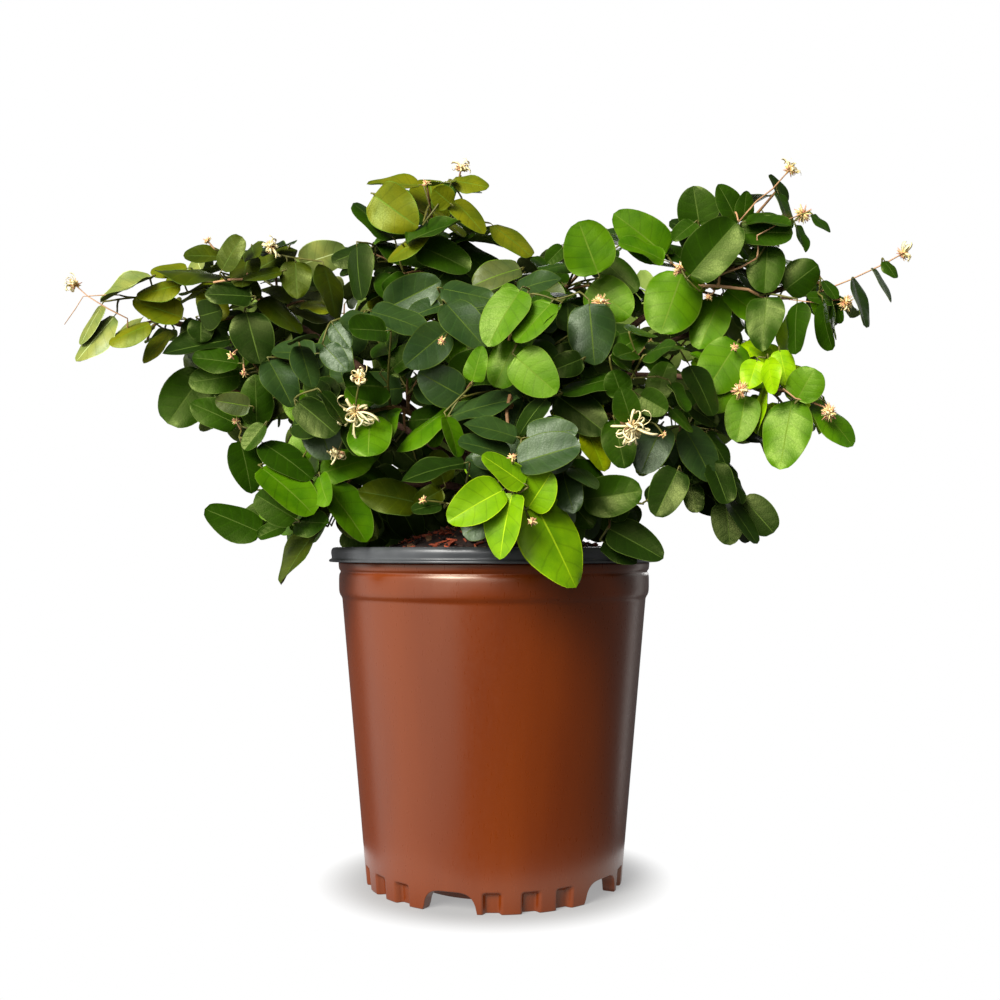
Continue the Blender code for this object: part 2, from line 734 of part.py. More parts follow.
def grow_mass(name, seed, limbs, space, fixed):
    """The twigs of one mass, its stem first and each cut at its last leaf, and the leaves."""
    rng = random.Random(seed)
    stem = make_stem(name, limbs["bough_" + name], space)
    twigs = [stem]
    used = [1 if name in LEADERS else 0]
    for i in range(TWIGS_PER_MASS):
        twig, share = make_side_twig(stem, space, i, rng)
        twig = cut_to_space(twig, space, fixed)
        if twig:
            twigs.append(twig)
            used.append(0)
            used[0] = max(used[0], share)
    trees = [limb_tree(twig, TWIG_SIDES) for twig in twigs]
    leaves = []
    leaf_trees = []
    for i, twig in enumerate(twigs):
        others = fixed + trees[:i] + trees[i + 1:]
        flowering = i == 0 and name in LEADERS
        for share, side_sign in leaf_places(twig)[1 if flowering else 0:]:
            point, along, _ = twig.at(share)
            fit = fit_leaf(point, along, side_sign, space, others + leaf_trees, rng)
            if fit:
                leaves.append(fit[0])
                leaf_trees.append(fit[1])
                used[i] = max(used[i], share)
    leafy = [(twig, share) for twig, share in zip(twigs, used) if share]
    return [twig.cut_at(min(1, share + LEAF_SET_BACK / twig.length())) for twig, share in leafy], leaves


def build_mass(name, twigs, leaves, material):
    """One solid of a mass's twigs and leaves, with fewer leaves where they won't join soundly."""
    twig_meshes = [limb_mesh("twig", twig, TWIG_SIDES) for twig in twigs]
    if name in LEADERS:
        twig_meshes += petal_meshes(twigs[0], LEADERS[name][1] * MM)
    leaf_meshes = [closed_mesh("leaf", corners, LEAF_FACES) for corners in leaves]
    fused = fuse(name, twig_meshes + leaf_meshes)
    while fused is None:
        leaf_meshes.pop()
        fused = fuse(name, twig_meshes + leaf_meshes)
    keep_largest_shell(fused)
    add_object("foliage_" + name, fused, material)


def main():
    clear_scene()
    brown = plain_material("pot_brown", (0.20, 0.045, 0.012), 0.35)
    black = plain_material("lip_black", (0.03, 0.035, 0.04), 0.4)
    earth = plain_material("potting_mix", (0.03, 0.012, 0.006), 0.95)
    bark = plain_material("bark", (0.10, 0.05, 0.03), 0.85)
    green = plain_material("leaf_green", (0.06, 0.16, 0.02), 0.45)
    build_pot(brown)
    build_lip(black)
    build_soil(earth)
    spaces = make_spaces()
    limbs = grow_limbs(spaces)
    for name, limb in limbs.items():
        if name == "trunk":
            add_object(name, limb_mesh(name, limb, TRUNK_SIDES, lobes=trunk_lobes), bark)
        else:
            add_object(name, limb_mesh(name, limb, BOUGH_SIDES), bark)
    fixed = [limb_tree(limb, BOUGH_SIDES, 2 * CLEAR) for limb in limbs.values()]
    fixed.append(keep_out_tree())
    for index, (name, space) in enumerate(spaces.items()):
        twigs, leaves = grow_mass(name, FIRST_SEED + index, limbs, space, fixed)
        build_mass(name, twigs, leaves, green)


main()
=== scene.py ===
"""The looks of a potted fringe flower shrub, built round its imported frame, in metres, front towards -Y.

The limbs and the stems of the masses grow by the same rule and from the same sizes as the solids. Finer
twigs, leaves of the living size and flowers then grow on from them. The leaves, shoots and blossom that
stand out from the front have listed places.
"""

import json
import math
import random

import bpy
import numpy as np
from mathutils import Matrix, Vector, noise
from mathutils.bvhtree import BVHTree

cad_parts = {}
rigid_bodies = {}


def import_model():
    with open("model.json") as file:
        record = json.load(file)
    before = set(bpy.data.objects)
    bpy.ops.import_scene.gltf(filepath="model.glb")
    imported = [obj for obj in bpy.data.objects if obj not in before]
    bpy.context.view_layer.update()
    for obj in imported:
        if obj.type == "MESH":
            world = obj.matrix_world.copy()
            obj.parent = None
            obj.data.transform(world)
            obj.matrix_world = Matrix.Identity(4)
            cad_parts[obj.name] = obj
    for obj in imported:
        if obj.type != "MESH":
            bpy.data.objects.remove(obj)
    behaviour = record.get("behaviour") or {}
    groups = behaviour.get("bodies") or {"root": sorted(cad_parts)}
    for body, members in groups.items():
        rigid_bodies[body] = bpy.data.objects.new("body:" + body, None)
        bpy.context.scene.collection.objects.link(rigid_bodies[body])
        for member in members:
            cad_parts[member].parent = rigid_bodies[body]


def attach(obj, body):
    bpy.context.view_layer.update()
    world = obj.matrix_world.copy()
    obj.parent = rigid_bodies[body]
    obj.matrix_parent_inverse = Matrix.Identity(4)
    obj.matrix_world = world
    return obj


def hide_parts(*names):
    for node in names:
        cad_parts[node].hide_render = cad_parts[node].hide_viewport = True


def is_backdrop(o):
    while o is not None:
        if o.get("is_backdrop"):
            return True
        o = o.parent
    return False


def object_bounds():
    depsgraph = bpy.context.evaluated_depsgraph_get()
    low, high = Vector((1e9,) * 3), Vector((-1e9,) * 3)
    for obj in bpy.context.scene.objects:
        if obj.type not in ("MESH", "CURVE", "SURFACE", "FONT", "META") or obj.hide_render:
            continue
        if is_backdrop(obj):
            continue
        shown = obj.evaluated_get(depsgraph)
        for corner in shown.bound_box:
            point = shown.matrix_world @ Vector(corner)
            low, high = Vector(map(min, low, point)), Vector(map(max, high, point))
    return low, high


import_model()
cad_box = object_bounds()

MM = 0.001
CLEAR = 0.3 * MM
UP = Vector((0, 0, 1))

# The pot, its lip and the potting mix
POT_SIDES = 540
LIP_SIDES = 288
SOIL_SIDES = 240
WALL = 1.8 * MM
WALL_FOOT_RADIUS = 87.7 * MM
WALL_TOP_RADIUS = 104.0 * MM
WALL_TOP = 192.5 * MM
COLLAR_FOOT = 197.5 * MM
COLLAR_RADIUS = 106.3 * MM
SHOULDER_TOP = 217.7 * MM
FLOOR = 2.2 * MM
PAD_RADIUS = 56 * MM
CHANNEL_INNER = 60 * MM
CHANNEL_OUTER = 79.5 * MM
CHANNEL_HEIGHT = 14 * MM
ARCHES = 5
FIRST_ARCH_DEG = -18.5
ARCH_HALF_WIDTH_DEG = 11.6
ARCH_HEIGHT = 13.5 * MM
SLOTS_PAST_ARCH_DEG = (18.0, 34.0, 49.0)
SLOT_HALF_WIDTH_DEG = 3.3
SLOT_HEIGHT = 13.0 * MM
SLOT_DEPTH = 4.5 * MM
LIP_FLANGE_RADIUS = 112.9 * MM
LIP_FOOT = SHOULDER_TOP + CLEAR
LIP_TOP = 228 * MM
MOUND = ((104.1, 212), (96, 217), (75, 226), (45, 237), (20, 242))
SOIL_TOP = MOUND[-1][1] * MM
KEEP_OUT = 1.5 * MM

# The bark chips on the mix
CHIPS = 1500
CHIPS_REACH = 101 * MM
CHIPS_SMALL = 0.55

# The section of the collar and the shoulder, in millimetres, from the top of the plain wall upward
COLLAR = (
    (104.0, 192.4), (104.15, 193.4), (104.7, 194.6), (105.45, 195.8), (105.95, 197.2), (106.2, 199.0),
    (106.3, 202.0), (106.3, 206.0), (106.2, 208.6), (105.95, 209.9), (105.45, 210.7), (105.2, 211.3),
    (105.3, 211.9), (105.8, 212.5), (106.2, 213.2), (106.45, 214.6), (106.6, 216.4), (106.6, 217.4),
    (106.3, 217.7), (104.9, 217.7),
)

# The section of the lip, in millimetres from the axis and above its foot
LIP_SECTION = (
    (104.0, 0.5), (104.6, 0.05), (108.0, 0.0), (112.3, 0.0), (112.75, 0.2), (112.9, 0.7), (112.8, 1.3),
    (112.4, 1.75), (111.8, 2.0), (111.3, 2.4), (111.15, 3.0), (111.3, 4.0), (111.55, 5.2), (111.65, 6.4),
    (111.5, 7.6), (111.0, 8.8), (110.2, 9.55), (109.0, 9.9), (107.4, 10.0), (105.8, 9.85), (104.8, 9.4),
    (104.15, 8.6), (103.95, 7.4), (103.9, 4.0), (103.9, 1.2),
)

# The trunk
TRUNK_RINGS = 8
TRUNK_HEIGHT = 56 * MM
TRUNK_RADIUS = 8.4 * MM
TRUNK_TIP_RADIUS = 6.4 * MM
FLARE = 5.5 * MM
FLARE_HEIGHT = 9 * MM
FLARE_LOBES = 5
LOBE_DEPTH = 0.10
TRUNK_LEAN = Vector((-5, 3, 0)) * MM

# The boughs
BOUGH_STEPS = 5
BOUGH_TIP_RADIUS = 1.9 * MM
BOUGH_GIRTH = 2.7 * MM
GIRTH_LENGTH = 100 * MM
FORK_GIRTH = 0.8
FORK_CLEAR = 1.4 * CLEAR
FORK_LEAN = 0.75
ENTRY = 0.74
ENTRY_STEP = 0.04
ENTRY_DEPTH = 5 * MM
DROOP = 0.16
KNEE = 0.36
WRIST = 0.32

# Each mass of foliage: what its bough springs from and where along it, the middle of the mass, and its
# half-sizes, all in millimetres
MASSES = {
    "crest": ("trunk", 1.00, (-50, -18, 436), (64, 62, 58)),
    "upper_left": ("trunk", 0.86, (-166, -26, 402), (62, 60, 46)),
    "upper_right": ("trunk", 0.84, (148, -34, 422), (58, 58, 56)),
    "centre": ("trunk", 0.84, (8, -88, 346), (56, 58, 54)),
    "back_crest": ("trunk", 0.88, (-6, 88, 406), (78, 68, 62)),
    "front_left": ("trunk", 0.60, (-76, -82, 334), (58, 58, 60)),
    "front_right": ("trunk", 0.62, (84, -80, 326), (48, 56, 50)),
    "back_left": ("trunk", 0.62, (-142, 84, 356), (78, 72, 76)),
    "back_right": ("trunk", 0.60, (136, 86, 360), (78, 72, 76)),
    "low_left": ("trunk", 0.34, (-132, -48, 266), (60, 56, 58)),
    "low_front": ("trunk", 0.34, (10, -124, 258), (60, 50, 52)),
    "low_right": ("trunk", 0.36, (82, -84, 258), (42, 48, 40)),
    "low_back": ("trunk", 0.34, (-2, 138, 286), (86, 68, 58)),
    "crown": ("bough_crest", 0.46, (52, -16, 410), (56, 60, 50)),
    "tip_left": ("bough_upper_left", 0.66, (-238, -32, 384), (48, 46, 38)),
    "middle_left": ("bough_upper_left", 0.44, (-172, -26, 334), (62, 60, 42)),
    "tip_right": ("bough_upper_right", 0.70, (232, -42, 412), (54, 46, 50)),
    "outer_right": ("bough_upper_right", 0.54, (190, -46, 332), (56, 54, 58)),
    "hang_right": ("bough_upper_right", 0.36, (146, -34, 284), (54, 54, 56)),
}
LEADERS = {
    "crest": (-22, -20, 484),
    "tip_left": (-273, -32, 400),
    "tip_right": (267, -42, 418),
    "upper_right": (196, -42, 474),
    "front_left": (-81, -120, 308),
    "front_right": (82, -124, 299),
}
FLOWERS = {"front_left": "flower", "front_right": "flower", "crest": "small"}

# Leaves that stand out from the front, the nearest first. Each row has where the leaf starts, where it ends
# and how wide it looks, all in millimetres
PLACED = (
    (11, -161, 258, 4, -166, 221, 22), (18, -160, 263, -6, -165, 279, 16),
    (6, -158, 260, -25, -163, 242, 23), (14, -157, 275, 49, -162, 285, 22),
    (20, -154, 250, 33, -160, 270, 22), (22, -149, 256, 47, -154, 205, 35),
    (10, -142, 280, -20, -147, 288, 15), (-27, -141, 303, -20, -146, 279, 11),
    (14, -141, 291, -17, -146, 298, 15), (-30, -133, 253, -47, -138, 249, 9),
    (-12, -133, 324, -6, -138, 344, 14), (34, -133, 370, 13, -138, 346, 18),
    (13, -131, 339, 37, -136, 317, 27), (-16, -130, 277, -53, -135, 266, 12),
    (16, -130, 378, -3, -135, 344, 23), (39, -126, 370, 20, -131, 345, 8),
    (-99, -124, 346, -85, -129, 331, 15), (31, -124, 315, 15, -129, 293, 13),
    (-28, -122, 372, -5, -127, 345, 22), (-102, -121, 320, -87, -126, 300, 9),
    (-95, -118, 360, -84, -124, 345, 14), (53, -118, 256, 88, -123, 261, 25),
    (82, -118, 303, 75, -123, 322, 17), (-27, -117, 357, -52, -122, 335, 24),
    (53, -116, 340, 32, -121, 331, 16), (110, -115, 274, 96, -120, 246, 22),
    (-25, -114, 306, 16, -119, 316, 14), (77, -113, 318, 71, -118, 333, 17),
    (-117, -112, 315, -93, -117, 295, 20), (106, -112, 326, 115, -117, 308, 8),
    (-31, -111, 383, 1, -116, 375, 13), (-116, -109, 349, -108, -114, 323, 15),
    (88, -109, 319, 104, -114, 309, 17), (-74, -107, 370, -39, -112, 357, 17),
    (-19, -106, 319, -45, -111, 333, 25), (70, -106, 239, 102, -111, 221, 22),
    (58, -105, 375, 61, -110, 337, 30), (72, -105, 330, 40, -110, 320, 13),
    (73, -105, 305, 79, -110, 275, 20), (108, -102, 312, 120, -107, 297, 8),
    (39, -100, 320, 68, -105, 297, 23), (67, -99, 231, 87, -104, 218, 14),
    (-32, -95, 376, -52, -100, 367, 11), (-26, -94, 313, -59, -100, 286, 13),
    (-121, -93, 245, -145, -98, 260, 21), (56, -92, 303, 68, -97, 274, 15),
    (104, -91, 303, 90, -96, 273, 25), (-143, -90, 277, -110, -95, 248, 22),
    (-66, -90, 375, -32, -95, 391, 26), (-33, -89, 308, -36, -94, 289, 9),
    (170, -87, 345, 173, -92, 322, 11), (-142, -86, 304, -154, -88, 288, 12),
    (188, -86, 319, 198, -91, 338, 23), (-144, -83, 293, -112, -88, 270, 17),
    (122, -83, 341, 136, -88, 309, 16), (189, -83, 380, 187, -88, 347, 15),
    (-158, -81, 294, -150, -86, 261, 20), (-106, -81, 404, -98, -86, 370, 16),
    (-32, -80, 264, -49, -85, 254, 14), (165, -79, 345, 158, -84, 326, 17),
    (187, -79, 320, 178, -84, 276, 29), (123, -78, 398, 151, -83, 430, 31),
    (-141, -77, 345, -125, -82, 315, 22), (-130, -77, 242, -147, -82, 234, 9),
    (-105, -77, 266, -79, -82, 231, 24), (137, -77, 281, 146, -82, 255, 17),
    (17, -76, 403, -13, -81, 391, 15), (-171, -75, 402, -157, -80, 422, 13),
    (120, -75, 303, 137, -80, 269, 23), (180, -75, 352, 184, -80, 329, 16),
    (207, -75, 383, 212, -80, 351, 8), (246, -75, 408, 252, -80, 396, 7),
    (201, -74, 319, 225, -79, 291, 13), (239, -73, 404, 249, -78, 381, 4),
    (134, -72, 301, 147, -77, 278, 13), (154, -72, 426, 188, -77, 425, 17),
    (159, -72, 433, 187, -77, 430, 6), (-154, -71, 317, -175, -76, 320, 15),
    (-48, -70, 256, -85, -75, 263, 22), (155, -70, 433, 141, -76, 456, 15),
    (158, -70, 434, 159, -76, 452, 12), (160, -70, 324, 153, -75, 294, 22),
    (173, -70, 386, 169, -75, 351, 24), (-147, -69, 237, -182, -74, 252, 24),
    (202, -69, 439, 212, -74, 426, 5), (209, -69, 397, 216, -74, 384, 6), (228, -69, 399, 235, -74, 366, 7),
    (-111, -68, 240, -134, -73, 204, 16), (174, -68, 419, 171, -73, 388, 24),
    (-27, -67, 446, -38, -72, 454, 16), (173, -67, 331, 167, -72, 298, 10),
    (181, -67, 453, 188, -72, 429, 8), (-172, -66, 413, -196, -72, 412, 10),
    (-56, -66, 422, -20, -71, 434, 10), (126, -66, 317, 142, -71, 305, 13),
    (215, -66, 385, 217, -71, 359, 5), (-162, -65, 345, -191, -70, 348, 14),
    (-154, -64, 388, -183, -70, 388, 15), (-135, -64, 404, -159, -70, 397, 8),
    (154, -63, 331, 137, -68, 315, 18), (193, -63, 434, 198, -68, 415, 5),
    (219, -63, 388, 221, -68, 370, 6), (-43, -62, 430, -67, -67, 409, 11), (67, -62, 403, 54, -67, 435, 34),
    (156, -62, 359, 135, -67, 327, 31), (219, -62, 386, 199, -67, 387, 7),
    (-220, -61, 371, -245, -66, 357, 11), (-127, -61, 411, -125, -66, 386, 21),
    (129, -61, 436, 114, -66, 423, 11), (132, -61, 284, 125, -66, 269, 15),
    (132, -61, 434, 127, -66, 458, 27), (150, -61, 258, 168, -66, 230, 10),
    (153, -61, 273, 158, -66, 255, 8), (-189, -60, 376, -173, -65, 379, 20),
    (-152, -60, 306, -152, -66, 338, 22), (187, -60, 393, 207, -65, 408, 23),
    (-159, -59, 379, -149, -64, 345, 28), (-77, -59, 454, -48, -64, 432, 31),
    (-220, -58, 402, -251, -64, 384, 10), (-65, -58, 427, -90, -63, 448, 11),
    (-26, -58, 451, -6, -63, 428, 15), (-175, -57, 402, -217, -62, 405, 10),
    (-165, -57, 307, -194, -62, 320, 19), (-202, -56, 397, -229, -61, 388, 11),
    (-245, -55, 377, -268, -60, 347, 14), (45, -55, 422, 34, -60, 410, 11),
    (127, -55, 269, 131, -60, 250, 14), (150, -54, 257, 152, -59, 229, 22),
    (161, -54, 260, 180, -59, 237, 22), (-254, -52, 385, -266, -58, 358, 6),
    (-48, -52, 423, -15, -58, 406, 23), (-202, -51, 377, -233, -56, 387, 18),
    (-190, -51, 375, -189, -56, 360, 17), (-48, -51, 463, -82, -56, 462, 10),
    (-171, -50, 363, -214, -55, 353, 18), (151, -49, 395, 177, -54, 373, 19),
    (-27, -48, 467, -3, -53, 461, 10), (123, -48, 407, 108, -53, 366, 38),
    (191, -48, 452, 178, -53, 469, 8), (-200, -46, 410, -223, -51, 406, 10),
    (63, -44, 400, 89, -50, 378, 29), (-166, -43, 341, -199, -48, 335, 21),
    (-90, -42, 426, -86, -47, 389, 18), (112, -42, 416, 81, -47, 427, 12),
    (-152, -41, 392, -126, -46, 367, 17), (-80, -41, 425, -106, -46, 414, 16),
    (113, -41, 420, 78, -46, 446, 28), (-212, -40, 370, -229, -45, 348, 10),
    (73, -40, 416, 94, -45, 395, 20), (150, -40, 393, 134, -46, 357, 24),
    (-197, -38, 378, -203, -43, 364, 12), (-1, -36, 441, 25, -41, 419, 13),
    (-194, -26, 345, -217, -32, 310, 33), (-94, -20, 280, -60, -24, 256, 13),
    (-131, -18, 419, -99, -23, 428, 23), (-31, -15, 435, 8, -20, 404, 18),
)

# The kinds of blossom: how many scales and how long, then how many petals and how long, in millimetres
BLOSSOM_KINDS = {
    "bud": (26, 3.0, 0, 0),
    "tuft": (80, 6.2, 8, 5.5),
    "small": (48, 4.6, 14, 9.5),
    "flower": (48, 5.2, 20, 20.0),
}

# Blossom between those leaves: its kind and where it is, in millimetres
BLOSSOMS = (
    ("small", -141, -71, 418), ("bud", -181, -73, 422), ("bud", -43, -64, 461), ("tuft", 118, -73, 404),
    ("bud", -30, -130, 348), ("tuft", 154, -81, 326), ("tuft", 207, -89, 311), ("bud", 22, -170, 242),
    ("bud", -165, -77, 348), ("bud", -157, -74, 337), ("tuft", 223, -71, 382), ("tuft", 198, -61, 441),
    ("tuft", 69, -62, 385), ("bud", 152, -73, 354), ("bud", 136, -69, 386), ("bud", 103, -108, 295),
    ("small", -77, -135, 326), ("small", -94, -105, 285), ("bud", 11, -165, 278), ("bud", -114, -84, 291),
    ("bud", -164, -67, 309), ("bud", -41, -140, 255),
)

# Twigs that show between them: the radius at the foot, what is at the tip, then the points on the way, in
# millimetres
ROUTES = (
    (1.5, "", (126, -63, 395), (144, -66, 394), (162, -66, 392), (174, -62, 387), (191, -53, 389)),
    (0.7, "small", (192, -50, 389), (207, -58, 391), (227, -67, 398), (247, -72, 407), (258, -74, 413)),
    (0.9, "", (143, -71, 400), (157, -72, 405), (166, -73, 410)),
    (1.7, "", (10, -120, 318), (8, -122, 308), (9, -134, 295)),
    (1.1, "", (-29, -85, 308), (-22, -96, 315), (-14, -108, 326), (-8, -116, 330)),
    (0.8, "", (-45, -70, 432), (-39, -69, 440), (-30, -67, 453), (-27, -64, 460)),
    (0.4, "", (-262, -64, 388), (-267, -64, 380), (-274, -64, 370)),
    (0.6, "small", (-234, -63, 374), (-246, -65, 380), (-259, -64, 388), (-268, -63, 396)),
    (1.1, "", (-155, -68, 398), (-166, -68, 398), (-178, -68, 396)),
    (0.7, "small", (153, -81, 431), (161, -79, 440), (165, -77, 445), (177, -69, 455), (190, -62, 470)),
    (0.6, "", (165, -79, 423), (184, -73, 434), (198, -63, 441)),
    (0.5, "", (220, -68, 385), (205, -64, 384), (190, -59, 387)),
    (0.8, "", (208, -84, 314), (197, -86, 318), (187, -87, 320), (179, -88, 326)),
)

# Leaves far inside, under the crown, all in the darkest tint as painted shade, as (root, tip) points in
# millimetres
PAINTED_SHADE_LEAVES = (
    (-112, 60, 262, -84, 58, 236), (-96, 84, 256, -64, 88, 236), (-72, 60, 262, -58, 66, 234),
    (-52, 92, 258, -26, 96, 238), (-40, 60, 268, -24, 62, 244), (-88, 40, 284, -66, 44, 262),
    (-56, 40, 290, -44, 44, 264), (-26, 70, 284, -10, 72, 258), (-118, 40, 290, -100, 36, 264),
    (-16, 46, 300, 4, 44, 276), (24, 70, 282, 38, 72, 256), (-72, 96, 284, -48, 100, 262),
    (-106, 70, 248, -80, 74, 231), (-92, 98, 246, -62, 100, 232), (-66, 104, 246, -40, 106, 232),
    (-30, 108, 250, -6, 110, 233), (-118, 88, 262, -96, 92, 242), (-78, 78, 276, -72, 80, 250),
    (-100, 50, 306, -78, 50, 284), (-76, 52, 306, -54, 52, 286), (-60, 56, 302, -46, 56, 278),
    (-58, 50, 354, -46, 50, 332), (-98, 50, 386, -86, 50, 366), (-112, 66, 242, -94, 66, 231),
    (66, 60, 258, 84, 60, 234), (94, 56, 252, 78, 60, 233), (100, 60, 262, 92, 62, 240),
)

# Where the camera stands, and its lens, in millimetres
EYE = (4.1, -830, 228)
CAMERA_LENS = 43.2
CAMERA_SENSOR = 36
CAMERA_SHIFT = 0.047

# The crown's outline as the camera sees it, in the plane through the pot's axis, as (x, z) in millimetres
OUTLINE = (
    (-24, 499), (-5, 480), (-10, 475), (-26, 472), (-4, 456), (13, 449), (32, 429), (51, 453), (68, 453),
    (77, 447), (86, 461), (102, 462), (121, 445), (124, 449), (122, 469), (138, 479), (153, 468),
    (158, 458), (162, 462), (154, 475), (163, 480), (174, 476), (192, 457), (194, 465), (187, 480),
    (195, 485), (204, 475), (208, 461), (223, 462), (232, 452), (223, 442), (216, 447), (209, 439),
    (205, 442), (197, 432), (202, 427), (215, 431), (221, 429), (227, 423), (227, 415), (234, 411),
    (248, 417), (255, 409), (258, 391), (252, 386), (246, 389), (233, 367), (221, 386), (216, 368),
    (206, 357), (209, 352), (221, 354), (229, 346), (230, 335), (248, 304), (242, 299), (223, 312),
    (216, 296), (198, 280), (189, 287), (183, 304), (174, 299), (161, 304), (158, 301), (173, 270),
    (183, 265), (192, 253), (194, 241), (182, 230), (175, 234), (169, 229), (160, 228), (154, 234),
    (154, 255), (145, 272), (141, 270), (144, 257), (138, 252), (131, 253), (124, 255), (112, 248),
    (104, 257), (100, 254), (97, 250), (118, 234), (113, 228), (-113, 228), (-120, 235), (-127, 228),
    (-148, 228), (-154, 234), (-178, 234), (-201, 253), (-189, 262), (-172, 262), (-187, 285),
    (-188, 294), (-183, 302), (-196, 309), (-217, 310), (-235, 325), (-234, 343), (-228, 348),
    (-213, 352), (-231, 361), (-238, 357), (-248, 370), (-269, 368), (-284, 355), (-290, 361),
    (-280, 392), (-261, 413), (-219, 425), (-198, 443), (-192, 439), (-176, 445), (-167, 437),
    (-159, 444), (-143, 449), (-131, 439), (-91, 439), (-88, 444), (-99, 465), (-83, 484), (-55, 488),
    (-35, 480), (-32, 492),
)

# Gaps inside that outline, as (x, z, radius) in millimetres. The sky shows in the first ones, and the mix in
# the others
SKY_GAPS = (
    (88, 281, 10.4), (98, 269, 8.3), (-13, 436, 5.5), (-1, 433, 6.9), (9, 429, 5.5), (-264, 397, 5.5),
    (-255, 395, 5.5), (-151, 306, 6.9), (-24, 271, 5.5), (-216, 392, 4.2), (-158, 290, 4.2),
    (-63, 330, 4.2), (-162, 272, 3.5), (-94, 274, 3.5), (116, 312, 4.2), (124, 319, 3.5), (-87, 357, 3.5),
    (245, 406, 4.2), (54, 412, 3.5), (82, 424, 2.8), (130, 352, 2.8), (182, 335, 2.8), (-8, 386, 2.8),
    (-107, 395, 2.8), (104, 349, 2.8), (-55, 348, 2.8), (-74, 294, 2.8),
)
MIX_GAPS = (
    (-72, 242, 9.0), (-51, 240, 9.0), (-29, 238, 6.2), (-84, 240, 5.5),
)

# The tints of the leaves: the two colours that each varies between, and its ribs and undersides. Slate and
# haze mix the leaf's own green with a painted grey sheen
TINTS = {
    "deep": ((19, 37, 5), (25, 45, 6), "rib_dark", "under_grey"),
    "cool": ((33, 55, 20), (45, 66, 24), "rib_dark", "under_grey"),
    # slate: leaf green greyed by a painted sheen
    "slate_sheen": ((60, 73, 31), (83, 89, 39), "rib_green", "under_grey"),
    # haze: leaf green lightened by a painted grey sheen
    "haze_sheen": ((97, 114, 52), (133, 138, 63), "rib_pale", "under_grey"),
    "olive": ((43, 57, 3), (59, 69, 3), "rib_dark", "under_grey"),
    "moss": ((77, 90, 6), (106, 109, 8), "rib_green", "under_sage"),
    "mid": ((26, 52, 2), (35, 63, 2), "rib_dark", "under_sage"),
    "green": ((55, 96, 3), (75, 115, 3), "rib_green", "under_sage"),
    "fresh": ((83, 125, 4), (112, 152, 4), "rib_lime", "under_sage"),
    "bright": ((108, 154, 4), (148, 187, 4), "rib_lime", "under_sage"),
    "lime": ((119, 141, 3), (163, 171, 3), "rib_lime", "under_lime"),
    "pale": ((123, 149, 83), (168, 181, 101), "rib_pale", "under_sage"),
}

# The tints that each mass deals out to its sprays. Its stem has the last of them
TINTS_OF = {
    "crest": ("deep", "moss", "green", "mid"),
    "upper_left": ("deep", "haze_sheen", "moss", "olive"),
    "upper_right": ("deep", "green", "mid", "mid"),
    "centre": ("deep", "cool", "green", "mid"),
    "back_crest": ("deep", "slate_sheen", "pale", "mid"),
    "front_left": ("deep", "cool", "mid", "green"),
    "front_right": ("deep", "cool", "lime", "mid"),
    "back_left": ("mid", "pale", "olive", "moss"),
    "back_right": ("mid", "cool", "green", "fresh"),
    "low_left": ("olive", "green", "mid", "green"),
    "low_front": ("deep", "cool", "mid", "fresh"),
    "low_right": ("cool", "deep", "slate_sheen", "mid"),
    "low_back": ("mid", "slate_sheen", "olive", "green"),
    "crown": ("deep", "slate_sheen", "green", "mid"),
    "tip_left": ("haze_sheen", "lime", "moss", "moss"),
    "middle_left": ("slate_sheen", "green", "mid", "mid"),
    "tip_right": ("mid", "green", "bright", "green"),
    "outer_right": ("green", "fresh", "bright", "bright"),
    "hang_right": ("cool", "mid", "deep", "mid"),
}

# The ribs and the undersides of the leaves, by the two colours that each varies between
BACKS = {
    "rib_dark": ((60, 80, 26), (76, 96, 36)),
    "rib_green": ((82, 108, 26), (98, 126, 36)),
    "rib_lime": ((136, 168, 14), (158, 186, 28)),
    "rib_pale": ((168, 182, 116), (182, 194, 130)),
    "under_grey": ((58, 70, 34), (76, 88, 44)),
    "under_sage": ((104, 126, 54), (124, 144, 68)),
    "under_lime": ((130, 156, 18), (152, 174, 30)),
}

# The colour of the leaves' shine, and how much the side veins differ from a dark and from a light leaf
LEAF_SHINE = (0.85, 1.0, 0.3, 1)
COOL_SHINE = (0.85, 0.95, 0.75, 1)
COOL_TINTS = ("cool", "slate_sheen", "haze_sheen", "pale")
VEIN_LIGHTER = 1.12
VEIN_DARKER = 0.92

# Materials in several colours: the sizes of blotches and grain in metres, the roughness and the relief
LEAF_FINISH = (0.014, 0.0012, 0.38, 0.00008)
BACK_FINISH = (0.016, 0.0016, 0.6, 0.0002)
CHIP_FINISH = (0.004, 0.0008, 0.9, 0.0003)
CALYX_FINISH = (0.003, 0.0006, 0.7, 0.0001)
ROUGHNESS_VARIES = 0.07
BUMP_STRENGTH = 0.5

# How strong the world is as a light and as a backdrop
WORLD_LIGHTS = 0.12
WORLD_SEEN = 1.0

# The softboxes: bearing in degrees, distance and height in metres, size in metres and power in watts
SOFTBOXES = {
    "front_fill": (-16, 1.7, 0.9, (1.4, 1.0), 18),
    "left_softbox": (-70, 1.5, 0.15, (3.0, 1.7), 15),
    "right_rim": (128, 1.2, 0.3, (0.25, 1.2), 0.7),
    "back_softbox": (170, 1.8, 0.9, (1.6, 1.2), 22),
}

# The masses whose leaves are joined into one piece
REGIONS = {
    "left": ("upper_left", "tip_left", "middle_left", "low_left", "front_left"),
    "right": ("upper_right", "tip_right", "outer_right", "hang_right", "low_right", "front_right"),
    "middle": ("crest", "crown", "centre", "low_front"),
    "back_left": ("back_left", "low_back"),
    "back_right": ("back_right", "back_crest"),
}

